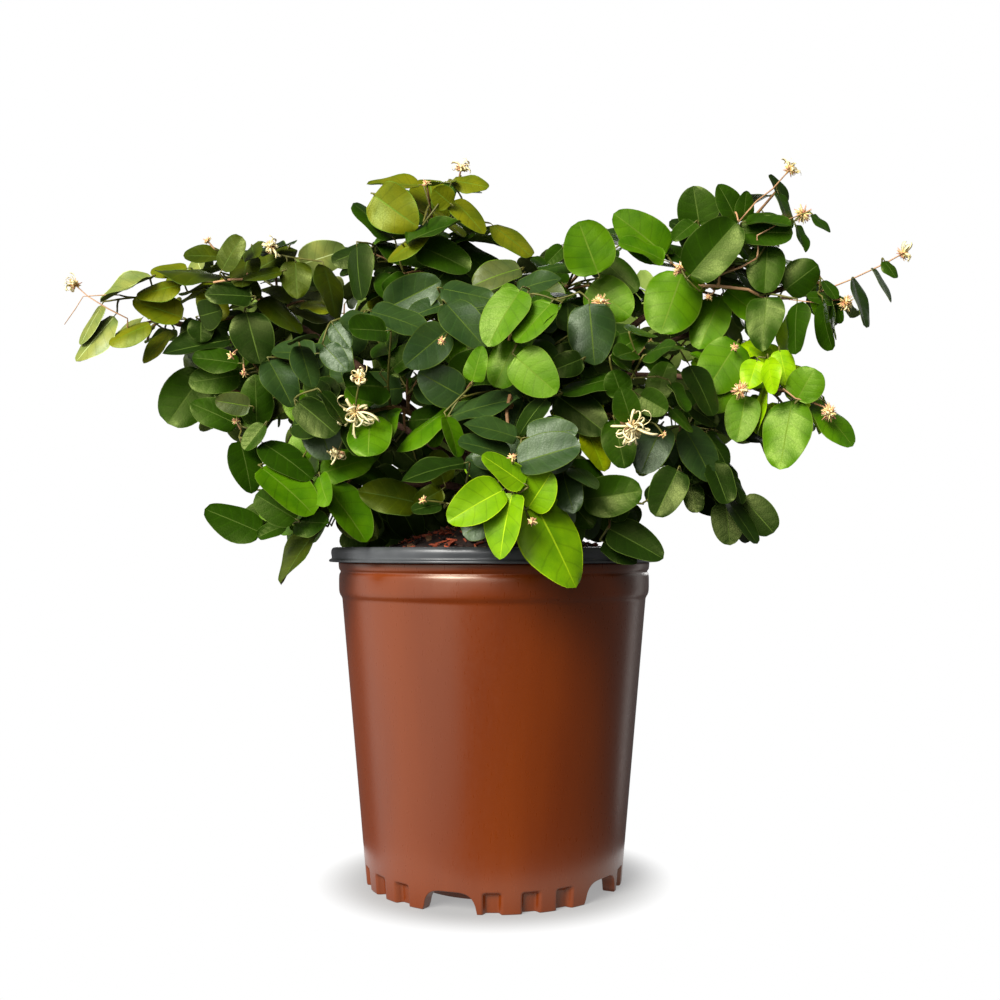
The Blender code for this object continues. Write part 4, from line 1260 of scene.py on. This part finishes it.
def join_placed(sprays, limbs, spaces, leaves):
    """Grows the twigs that show, and those that carry the blossom and the leaves. Leaves take their tint."""
    wood = Wood()
    for limb in limbs.values():
        wood.add(limb)
    for spray in sprays:
        wood.add(spray.twig, spray)
    for radius, tip, *points in ROUTES:
        points = [Vector(point) * MM for point in points]
        sprout(wood, sprays, home(spaces, points[0]), points[-1], radius * MM, tip, points[:-1])
    for leaf in sorted(leaves, key=lambda leaf: -leaf.root.y):
        start = leaf.root - Vector(leaf.frame[1]) * PETIOLE
        leaf.foot, tint = sprout(wood, sprays, leaf.mass, start)
        leaf.tint = leaf.tint or tint
    for kind, *place in BLOSSOMS:
        place = Vector(place) * MM
        sprout(wood, sprays, home(spaces, place), place, tip=kind)


def wood_tree(limbs, sprays):
    """Everything woody as one search tree, which no leaf may touch."""
    wood = Pieces()
    for limb in list(limbs.values()) + [spray.twig for spray in sprays]:
        wood.add(*tube(limb.points, limb.radii, 4))
    return BVHTree.FromPolygons(wood.vertices, wood.faces)


def pruned(sprays):
    """The sprays that carry something, each cut back to the last of it."""
    for spray in reversed(sprays):
        if spray.used and spray.parent:
            spray.parent.used = max(spray.parent.used, spray.share)
    kept = [spray for spray in sprays if spray.used]
    for spray in kept:
        if spray.used < 1:
            spray.twig = spray.twig.cut(min(1, spray.used + PAST_LAST_LEAF))
    return kept


def smoothed(limb, count):
    """The limb with more rings, on a smooth curve through its points."""
    points = limb.points
    ends = [points[0] * 2 - points[1]] + points + [points[-1] * 2 - points[-2]]
    path = []
    radii = []
    spans = len(points) - 1
    for n in range(count + 1):
        place = n / count * spans
        i = min(int(place), spans - 1)
        t = place - i
        a, b, c, d = ends[i:i + 4]
        square = 2 * a - 5 * b + 4 * c - d
        cube = 3 * b - a - 3 * c + d
        path.append(0.5 * (2 * b + (c - a) * t + square * t * t + cube * t ** 3))
        radii.append(limb.radii[i] + (limb.radii[i + 1] - limb.radii[i]) * t)
    return Limb(path, radii)


def bark_tube(limb, sides, rings, relief, lobes=0.0):
    """A limb's tube with the ridges and cracks of its bark."""
    fine = smoothed(limb, rings)
    vertices = []
    travelled = 0
    last = fine.points[0]
    for (_, side, up), point, radius in zip(frames(fine.points), fine.points, fine.radii):
        travelled += (point - last).length
        last = point
        fade = lobes * max(0, 1 - travelled / (3 * FLARE_HEIGHT))
        for k in range(sides):
            angle = 2 * math.pi * k / sides
            around = Vector((math.cos(angle), math.sin(angle), 0))
            ridge = 1 - 2 * abs(noise.noise(around * 3.2 + UP * travelled * 60))
            knots = noise.noise(around * 1.1 + UP * travelled * 22 + Vector((9, 4, 1)))
            swell = 1 + relief * ridge + relief * 1.4 * knots + fade * math.cos(FLARE_LOBES * angle)
            vertices.append(point + (side * around.x + up * around.y) * radius * swell)
    faces = ring_faces(rings + 1, sides)
    faces.append(tuple(reversed(range(sides))))
    faces.append(tuple(range(len(vertices) - sides, len(vertices))))
    return vertices, faces


def build_bark(limbs, material):
    """The trunk and the boughs, each bough's foot sunk in what it springs from."""
    bark = Pieces()
    trunk = limbs["trunk"]
    tip = trunk.points[-1]
    along = (tip - trunk.points[-2]).normalized()
    dome = Limb(
        trunk.points + [tip + along * 3 * MM, tip + along * 6 * MM],
        trunk.radii + [TRUNK_TIP_RADIUS * 0.86, TRUNK_TIP_RADIUS * 0.5],
    )
    bark.add(*bark_tube(dome, 56, 110, 0.07, LOBE_DEPTH))
    for name, limb in limbs.items():
        if name == "trunk":
            continue
        heading = (limb.points[1] - limb.points[0]).normalized()
        sunk = Limb(
            [limb.points[0] - heading * 3 * MM, limb.points[0] + heading * 1 * MM] + limb.points[1:],
            [limb.radii[0] * 1.35, limb.radii[0] * 1.08] + limb.radii[1:],
        )
        bark.add(*bark_tube(sunk, 14, 54, 0.09))
    piece = bark.build("bark", [material])
    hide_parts(*limbs)


def twig_slot(spray):
    """Fine twigs inside the crown are dull green, and those that stand out of it are light."""
    if spray.open_air:
        return 2
    return 1 if spray.twig.radii[0] < YOUNG_TWIG_RADIUS else 0


def build_twigs(sprays, leaves, materials):
    twigs = Pieces()
    for spray in sprays:
        limb = spray.twig
        nodes = [1 + NODE_SWELL * (i % 2) for i in range(len(limb.points))]
        radii = [radius * node for radius, node in zip(limb.radii, nodes)]
        twigs.add(*tube(limb.points, radii, TWIG_SIDES), twig_slot(spray))
    for leaf in leaves:
        middle = (leaf.foot + leaf.root) / 2 + UP * 0.4 * MM
        end = leaf.root + Vector(leaf.frame[1]) * 1.0 * MM
        radii = [PETIOLE_RADIUS * 1.3, PETIOLE_RADIUS, PETIOLE_RADIUS * 0.7]
        twigs.add(*tube([leaf.foot, middle, end], radii, 4), 1)
    piece = twigs.build("twigs", materials)


def build_leaves(leaves, materials):
    faces, parts = leaf_faces()
    tints = list(TINTS)
    backs = list(BACKS)
    for region, masses in REGIONS.items():
        group = Pieces()
        for leaf in leaves:
            if leaf.mass in masses:
                tint = tints.index(leaf.tint)
                rib, under = (len(tints) + backs.index(name) for name in TINTS[leaf.tint][2:])
                vein = len(tints) + len(backs) + tint
                slots = [(tint, rib, under, vein)[part] for part in parts]
                group.add(leaf_vertices(leaf).tolist(), faces, slots)
        piece = group.build("leaves_" + region, materials)
        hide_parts(*["foliage_" + mass for mass in masses])


def ribbon(foot, heading, toward, length, width, curl, steps=9):
    """A strap petal that curls over at its end, as a thin closed strip."""
    across = heading.cross(toward).normalized()
    vertices = []
    point = foot
    for i in range(steps + 1):
        t = i / steps
        angle = curl * t ** 2
        along = heading * math.cos(angle) + toward * math.sin(angle)
        thick = along.cross(across)
        half = width / 2 * (0.55 + 0.9 * t * (1 - t) + 0.35 * t) * (0.45 if i == steps else 1)
        for a, b in ((1, 0), (0, 1), (-1, 0), (0, -1)):
            vertices.append(point + across * half * a + thick * 0.16 * MM * b)
        point = point + along * length / steps
    faces = ring_faces(steps + 1, 4)
    faces += [(3, 2, 1, 0), tuple(range(4 * steps, 4 * steps + 4))]
    return vertices, faces


def spike(foot, heading, length, radius, bow):
    """A short scale or filament that bows to one side."""
    side = heading.orthogonal().normalized()
    points = [foot, foot + heading * length * 0.5 + side * bow, foot + heading * length + side * bow * 2.4]
    return tube(points, [radius, radius * 0.8, radius * 0.35], 4)


def around(heading, spread, turn):
    side = heading.orthogonal().normalized()
    up = heading.cross(side)
    out = side * math.cos(turn) + up * math.sin(turn)
    return (heading * math.cos(spread) + out * math.sin(spread)).normalized(), out




def add_blossom(blossom, kind, tip, heading, rng):
    """A bud, a tuft of calyces, or a tuft with strap petals, at the tip of a shoot."""
    scales, size, petals, length = BLOSSOM_KINDS[kind]
    for i in range(scales):
        spread = 0.2 + 1.7 * math.sqrt((i + 0.5) / scales)
        out, _ = around(heading, spread, GOLDEN_TURN * i + rng.uniform(-0.3, 0.3))
        reach = size * MM * rng.uniform(0.5, 1.1)
        bow = rng.uniform(-0.6, 0.6) * MM
        blossom.add(*spike(tip - heading * 1 * MM, out, reach, SCALE_RADIUS, bow), 1 + i % 3)
    hanging = (heading + Vector((0, -0.3, -0.9 if kind == "flower" else 0))).normalized()
    for i in range(petals):
        spread = 0.15 + 1.25 * math.sqrt((i + 0.5) / petals)
        out, toward = around(hanging, spread, GOLDEN_TURN * i + rng.uniform(-0.4, 0.4))
        toward = (toward + Vector([rng.uniform(-0.6, 0.6) for _ in range(3)]) - UP * 0.3)
        toward = (toward - out * toward.dot(out)).normalized()
        long = length * MM * rng.uniform(0.7, 1.2)
        curl = rng.uniform(1.6, 5.6) * rng.choice((-1, 1, 1))
        blossom.add(*ribbon(tip, out, toward, long, rng.uniform(1.3, 2.1) * MM, curl), 0)


def build_blossom(sprays, materials):
    blossom = Pieces()
    rng = random.Random(77)
    for spray in sprays:
        if spray.tip:
            tip, heading, _ = spray.twig.at(1)
            add_blossom(blossom, spray.tip, tip, heading, rng)
    piece = blossom.build("blossom", materials)


def wall_radius(height):
    return WALL_FOOT_RADIUS + (WALL_TOP_RADIUS - WALL_FOOT_RADIUS) * height / WALL_TOP


def turned_off(angle, middle_deg):
    """How far an angle, in degrees, is from the nearest of the foot's repeats."""
    step = 360 / ARCHES
    return (np.degrees(angle) - middle_deg + step / 2) % step - step / 2


def pot_rows():
    """The pot's section at each angle as rows of (radius, height), from its underside's middle outward."""
    angle = 2 * np.pi * np.arange(POT_SIDES) / POT_SIDES
    off = np.abs(turned_off(angle, FIRST_ARCH_DEG)) / ARCH_HALF_WIDTH_DEG
    edge = ARCH_HEIGHT * np.sqrt(np.clip(1 - off ** 4, 0, 1))
    slots = np.zeros(POT_SIDES)
    for past in SLOTS_PAST_ARCH_DEG:
        near = np.abs(turned_off(angle, FIRST_ARCH_DEG + past)) / SLOT_HALF_WIDTH_DEG
        slots = np.maximum(slots, np.clip((1.22 - near) / 0.4, 0, 1))
    slots = slots * slots * (3 - 2 * slots)
    flat = np.ones(POT_SIDES)

    def outer(height):
        reach = np.clip((SLOT_HEIGHT + 1.2 * MM - height) / (2.4 * MM), 0, 1)
        return wall_radius(height) - SLOT_DEPTH * slots * reach

    rows = [(flat * radius, flat * height) for radius, height in (
        (1 * MM, 0), (PAD_RADIUS - 1 * MM, 0), (PAD_RADIUS, 0.3 * MM),
        (CHANNEL_INNER - 0.4 * MM, CHANNEL_HEIGHT - 1 * MM),
        (CHANNEL_INNER + 0.6 * MM, CHANNEL_HEIGHT), (CHANNEL_OUTER - 0.6 * MM, CHANNEL_HEIGHT),
    )]
    rows.append((flat * CHANNEL_OUTER, np.maximum(edge + 0.6 * MM, CHANNEL_HEIGHT - 0.8 * MM)))
    rows.append((flat * CHANNEL_OUTER, edge + 0.5 * MM))
    rows.append((flat * (CHANNEL_OUTER + 0.5 * MM), edge))
    rows.append((outer(edge) - 0.6 * MM, edge))
    rows.append((outer(edge) - 0.15 * MM, edge + 0.2 * MM))
    low = 16 * MM
    for i in range(24):
        height = edge + 0.7 * MM + (low - edge - 0.7 * MM) * i / 23
        rows.append((outer(height), height))
    for height in np.linspace(low, WALL_TOP - 1 * MM, 26)[1:]:
        rows.append((flat * wall_radius(height), flat * height))
    for radius, height in COLLAR:
        rows.append((flat * radius * MM, flat * height * MM))
    inner_floor = CHANNEL_HEIGHT + FLOOR
    for radius, height in (
        (COLLAR_RADIUS - WALL, SHOULDER_TOP - 0.4 * MM), (COLLAR_RADIUS - WALL, COLLAR_FOOT + 2 * MM),
        (WALL_TOP_RADIUS - WALL, WALL_TOP), (wall_radius(inner_floor) - WALL, inner_floor),
        (CHANNEL_INNER + 1.5 * MM, inner_floor), (PAD_RADIUS + 1.5 * MM, FLOOR), (1 * MM, FLOOR),
    ):
        rows.append((flat * radius, flat * height))
    return angle, rows




def turned_piece(name, angle, rows, material):
    """A closed solid from rows of radii and heights round the axis, closed flat at the first and the last."""
    sides = len(angle)
    across = np.stack([np.sin(angle), -np.cos(angle)], axis=-1)
    vertices = []
    for radius, height in rows:
        ring = np.column_stack([across * radius[:, None], height])
        vertices.extend(ring.tolist())
    solid = Pieces()
    faces = ring_faces(len(rows), sides)
    faces.append(tuple(reversed(range(sides))))
    faces.append(tuple(range(len(vertices) - sides, len(vertices))))
    solid.add(vertices, faces)
    return solid.build(name, [material])


def build_pot(material):
    piece = turned_piece("pot_wall", *pot_rows(), material)
    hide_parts("pot")




def build_lip(material):
    angle = 2 * np.pi * np.arange(LIP_SIDES) / LIP_SIDES
    wobble = 0.25 * MM * np.sin(3 * angle + 0.6) + 0.12 * MM * np.sin(11 * angle)
    rows = []
    for radius, height in LIP_SECTION:
        thin = smooth_step(111.0, 112.9, radius) * (height < 2.2)
        rows.append((radius * MM + wobble * thin, LIP_FOOT + height * MM + 0 * angle))
    rows.append(rows[0])
    piece = turned_piece("lip", angle, rows, material)
    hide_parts("pot_lip")


def mix_height(radius):
    """The height of the potting mix at a distance from the axis."""
    radii = [0] + [r * MM for r, _ in reversed(MOUND)]
    heights = [SOIL_TOP] + [h * MM for _, h in reversed(MOUND)]
    return float(np.interp(radius, radii, heights))


def build_soil(material):
    """The potting mix, with a rough top."""
    angle = 2 * np.pi * np.arange(SOIL_SIDES) / SOIL_SIDES
    flat = np.ones(SOIL_SIDES)
    foot = CHANNEL_HEIGHT + FLOOR + CLEAR
    inset = WALL + CLEAR
    rows = [(flat * radius, flat * height) for radius, height in (
        (1 * MM, FLOOR + CLEAR), (PAD_RADIUS + 1.2 * MM, FLOOR + CLEAR), (CHANNEL_INNER + 1.2 * MM, foot),
        (wall_radius(foot) - inset, foot), (WALL_TOP_RADIUS - inset, WALL_TOP),
        (COLLAR_RADIUS - inset, COLLAR_FOOT + 3 * MM),
    )]
    for radius in np.linspace(103.9 * MM - 0.3 * MM, 1 * MM, 56):
        height = []
        for turn in angle:
            place = Vector((radius * math.sin(turn), -radius * math.cos(turn), 0))
            lumps = noise.noise(place * 90) * 1.6 + abs(noise.noise(place * 320)) * 1.4
            fade = min(1, (104 * MM - radius) / (8 * MM))
            height.append(mix_height(radius) + (lumps - 0.6) * fade * MM)
        rows.append((flat * radius, np.array(height)))
    piece = turned_piece("soil_mix", angle, rows, material)
    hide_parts("soil")


def chip(length, width, height, rng):
    """A splinter of bark: a box with chipped corners."""
    corners = []
    for z in (-1, 1):
        for x, y in ((-1, -1), (1, -1), (1, 1), (-1, 1)):
            jog = [rng.uniform(0.55, 1.0) for _ in range(3)]
            corners.append(Vector((x * length * jog[0], y * width * jog[1], z * height * jog[2])) / 2)
    faces = [(3, 2, 1, 0), (4, 5, 6, 7), (0, 1, 5, 4), (1, 2, 6, 5), (2, 3, 7, 6), (3, 0, 4, 7)]
    return corners, faces


def build_chips(materials):
    chips = Pieces()
    rng = random.Random(41)
    for _ in range(CHIPS):
        radius = CHIPS_REACH * math.sqrt(rng.random())
        turn = rng.uniform(0, 2 * math.pi)
        small = rng.random() < CHIPS_SMALL
        length = rng.uniform(1.5, 4) * MM if small else rng.uniform(4, 11) * MM
        corners, faces = chip(length, length * rng.uniform(0.2, 0.6), length * rng.uniform(0.12, 0.3), rng)
        place = Vector((radius * math.sin(turn), -radius * math.cos(turn), mix_height(radius) + 0.6 * MM))
        tilt = Matrix.Rotation(rng.uniform(0, 6.28), 3, "Z") @ Matrix.Rotation(rng.uniform(-0.5, 0.5), 3, "Y")
        tilt = tilt @ Matrix.Rotation(rng.uniform(-0.6, 0.6), 3, "X")
        chips.add([place + tilt @ corner for corner in corners], faces, rng.choice((0, 0, 1, 1, 2)))
    piece = chips.build("bark_chips", materials, smooth=False)


def linear(red, green, blue):
    """A colour given as eight-bit display values, as linear light."""
    return [((c / 255 + 0.055) / 1.055) ** 2.4 if c > 10 else c / 255 / 12.92 for c in (red, green, blue)]


def finish(name, low, high, blotch, grain, roughness, relief, stretch=(1, 1, 1), cells=False, **sockets):
    """A procedural material: blotches of two colours, uneven roughness, a fine relief. Sizes in metres."""
    material = bpy.data.materials.new(name)
    material.use_nodes = True
    nodes = material.node_tree.nodes
    links = material.node_tree.links
    shader = nodes["Principled BSDF"]
    for socket, value in sockets.items():
        shader.inputs[socket.replace("_", " ")].default_value = value
    place = nodes.new("ShaderNodeTexCoord")
    mapping = nodes.new("ShaderNodeMapping")
    mapping.inputs["Scale"].default_value = stretch
    links.new(place.outputs["Object"], mapping.inputs["Vector"])
    blotches = nodes.new("ShaderNodeTexNoise")
    blotches.inputs["Scale"].default_value = 1 / blotch
    blotches.inputs["Detail"].default_value = 4
    links.new(mapping.outputs["Vector"], blotches.inputs["Vector"])
    ramp = nodes.new("ShaderNodeValToRGB")
    ramp.color_ramp.elements[0].position = 0.34
    ramp.color_ramp.elements[0].color = (*linear(*low), 1)
    ramp.color_ramp.elements[1].position = 0.66
    ramp.color_ramp.elements[1].color = (*linear(*high), 1)
    links.new(blotches.outputs["Fac"], ramp.inputs["Fac"])
    links.new(ramp.outputs["Color"], shader.inputs["Base Color"])
    fine = nodes.new("ShaderNodeTexVoronoi" if cells else "ShaderNodeTexNoise")
    fine.inputs["Scale"].default_value = 1 / grain
    links.new(mapping.outputs["Vector"], fine.inputs["Vector"])
    height = fine.outputs["Distance" if cells else "Fac"]
    spread = nodes.new("ShaderNodeMapRange")
    spread.inputs["To Min"].default_value = roughness - ROUGHNESS_VARIES
    spread.inputs["To Max"].default_value = roughness + ROUGHNESS_VARIES
    links.new(height, spread.inputs["Value"])
    links.new(spread.outputs["Result"], shader.inputs["Roughness"])
    bump = nodes.new("ShaderNodeBump")
    bump.inputs["Strength"].default_value = BUMP_STRENGTH
    bump.inputs["Distance"].default_value = relief
    links.new(height, bump.inputs["Height"])
    links.new(bump.outputs["Normal"], shader.inputs["Normal"])
    return material


def blade_material(name, low, high, tint):
    shine = COOL_SHINE if tint in COOL_TINTS else LEAF_SHINE
    return finish(name, low, high, *LEAF_FINISH, cells=True, Specular_IOR_Level=0.34, Specular_Tint=shine)


def leaf_materials():
    """The tints, then the ribs and undersides, then the side veins of each tint."""
    dull = {"Specular_IOR_Level": 0.2, "Specular_Tint": LEAF_SHINE}
    materials = [blade_material("leaf_" + name, row[0], row[1], name) for name, row in TINTS.items()]
    for name, (low, high) in BACKS.items():
        materials.append(finish(name, low, high, *BACK_FINISH, cells=True, **dull))
    for name, (low, high, rib, _) in TINTS.items():
        change = VEIN_LIGHTER if rib == "rib_dark" else VEIN_DARKER
        low, high = ([value * change for value in colour] for colour in (low, high))
        materials.append(blade_material("vein_" + name, low, high, name))
    return materials


def add_sun(name, azimuth, elevation, strength, spread_deg, colour):
    light = bpy.data.lights.new(name, "SUN")
    light.energy = strength
    light.angle = math.radians(spread_deg)
    light.color = colour
    lamp = bpy.data.objects.new(name, light)
    level = bearing(azimuth)
    away = level * math.cos(math.radians(elevation)) + UP * math.sin(math.radians(elevation))
    lamp.rotation_euler = away.to_track_quat("Z", "Y").to_euler()
    bpy.context.scene.collection.objects.link(lamp)


def add_softbox(name, azimuth, distance, height, size, power):
    light = bpy.data.lights.new(name, "AREA")
    light.shape = "RECTANGLE"
    light.size, light.size_y = size
    light.energy = power
    lamp = bpy.data.objects.new(name, light)
    lamp.location = bearing(azimuth) * distance + UP * height
    lamp.rotation_euler = (lamp.location - Vector((0, 0, 0.2))).to_track_quat("Z", "Y").to_euler()
    bpy.context.scene.collection.objects.link(lamp)


def light_world():
    """A white studio, a little dimmer as a light than as a backdrop."""
    world = bpy.data.worlds.new("studio")
    world.use_nodes = True
    nodes = world.node_tree.nodes
    links = world.node_tree.links
    background = nodes["Background"]
    background.inputs["Color"].default_value = (1, 1, 1, 1)
    seen = nodes.new("ShaderNodeLightPath")
    strength = nodes.new("ShaderNodeMapRange")
    strength.inputs["To Min"].default_value = WORLD_LIGHTS
    strength.inputs["To Max"].default_value = WORLD_SEEN
    links.new(seen.outputs["Is Camera Ray"], strength.inputs["Value"])
    links.new(strength.outputs["Result"], background.inputs["Strength"])
    bpy.context.scene.world = world


def build_floor():
    """A plain white floor. It takes the real shadow at the pot's foot, which fades out around it, and its
    glow drops at the foot as a painted contact shadow.
    """
    corners = [bearing(360 * i / FLOOR_SIDES) * FLOOR_RADIUS for i in range(FLOOR_SIDES)]
    material = bpy.data.materials.new("floor_white")
    material.use_nodes = True
    nodes = material.node_tree.nodes
    links = material.node_tree.links
    shader = nodes["Principled BSDF"]
    shader.inputs["Roughness"].default_value = 0.95
    shader.inputs["Specular IOR Level"].default_value = 0.1
    shader.inputs["Emission Color"].default_value = (1, 1, 1, 1)
    place = nodes.new("ShaderNodeTexCoord")
    length = nodes.new("ShaderNodeVectorMath")
    length.operation = "LENGTH"
    links.new(place.outputs["Object"], length.inputs[0])
    # The glow rises from the foot outward: a painted contact shadow round the pot
    for socket, (near, far) in (("Base Color", FLOOR_ALBEDO), ("Emission Strength", FLOOR_GLOW_AND_PAINTED_SHADOW)):
        fade = nodes.new("ShaderNodeMapRange")
        fade.interpolation_type = "SMOOTHSTEP"
        fade.inputs["From Min"].default_value = FLOOR_NEAR
        fade.inputs["From Max"].default_value = FLOOR_FAR
        fade.inputs["To Min"].default_value = near
        fade.inputs["To Max"].default_value = far
        links.new(length.outputs["Value"], fade.inputs["Value"])
        links.new(fade.outputs["Result"], shader.inputs[socket])
    mesh = bpy.data.meshes.new("floor")
    mesh.from_pydata(corners, [], [tuple(range(FLOOR_SIDES))])
    mesh.materials.append(material)
    floor = bpy.data.objects.new("floor", mesh)
    bpy.context.scene.collection.objects.link(floor)
    floor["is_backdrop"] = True


def place_camera():
    camera = bpy.data.cameras.new("camera")
    camera.lens = CAMERA_LENS
    camera.sensor_width = CAMERA_SENSOR
    camera.shift_y = CAMERA_SHIFT
    viewer = bpy.data.objects.new("camera", camera)
    viewer.location = Vector(EYE) * MM
    viewer.rotation_euler = (math.radians(90), 0, 0)
    bpy.context.scene.collection.objects.link(viewer)
    bpy.context.scene.camera = viewer


def light_stage():
    bpy.context.scene.view_settings.view_transform = "Standard"
    light_world()
    add_sun("key", -34, 33, 5.4, 30, (1.0, 0.98, 0.93))
    for name, values in SOFTBOXES.items():
        add_softbox(name, *values)
    build_floor()


def build_container():
    build_pot(finish(
        "pot_brown", (94, 34, 1), (105, 41, 1), 0.05, 0.0012, 0.30, 0.00001, (1, 1, 0.2),
        Specular_IOR_Level=0.75, Specular_Tint=(1.0, 0.86, 0.7, 1),
    ))
    build_lip(finish("lip_black", (54, 56, 58), (72, 74, 76), 0.03, 0.0012, 0.34, 0.00004))
    build_soil(finish("mix", (26, 13, 8), (52, 28, 18), 0.004, 0.0011, 0.95, 0.0006))
    build_chips([
        finish("chip_red", (128, 52, 28), (170, 78, 46), *CHIP_FINISH),
        finish("chip_dark", (34, 18, 12), (56, 32, 22), *CHIP_FINISH),
        finish("chip_tan", (120, 84, 54), (150, 112, 76), *CHIP_FINISH),
    ])


def grow_plant():
    """The limbs, the twigs that carry something, and the leaves. The placed leaves come first."""
    spaces = make_spaces()
    view = FrontView()
    crown = Crown()
    placed = place_leaves(crown, view, spaces)
    limbs = grow_limbs(spaces)
    sprays = []
    for index, (name, space) in enumerate(spaces.items()):
        sprays += grow_sprays(name, limbs, space, view, random.Random(FIRST_SEED + index))
    join_placed(sprays, limbs, spaces, placed)
    crown.wood = wood_tree(limbs, sprays)
    fit_leaves(sprays, spaces, crown, view)
    return limbs, pruned(sprays), crown.leaves


def build_plant(limbs, sprays, leaves):
    build_bark(limbs, finish("bark", (66, 42, 30), (104, 72, 52), 0.006, 0.0012, 0.85, 0.0006, (1, 1, 0.4)))
    build_twigs(sprays, leaves, [
        finish("twig_brown", (104, 72, 40), (130, 94, 54), 0.006, 0.0008, 0.7, 0.0002),
        finish("twig_green", (78, 80, 22), (102, 98, 34), 0.008, 0.0008, 0.6, 0.0002),
        finish("twig_tan", (172, 128, 88), (196, 152, 108), 0.008, 0.0008, 0.6, 0.0002),
    ])
    build_leaves(leaves, leaf_materials())
    build_blossom(sprays, [
        finish("petal_cream", (240, 222, 158), (250, 236, 186), 0.006, 0.0008, 0.55, 0.0001),
        finish("calyx_tan", (206, 164, 100), (226, 186, 124), *CALYX_FINISH),
        finish("calyx_pink", (200, 134, 104), (222, 160, 128), *CALYX_FINISH),
        finish("calyx_yellow", (226, 206, 124), (240, 224, 156), *CALYX_FINISH),
    ])


def main():
    place_camera()
    light_stage()
    build_container()
    build_plant(*grow_plant())


main()
boxes = {"cad": cad_box, "visual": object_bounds()}
{name: [[float(x) for x in corner] for corner in box] for name, box in boxes.items()}
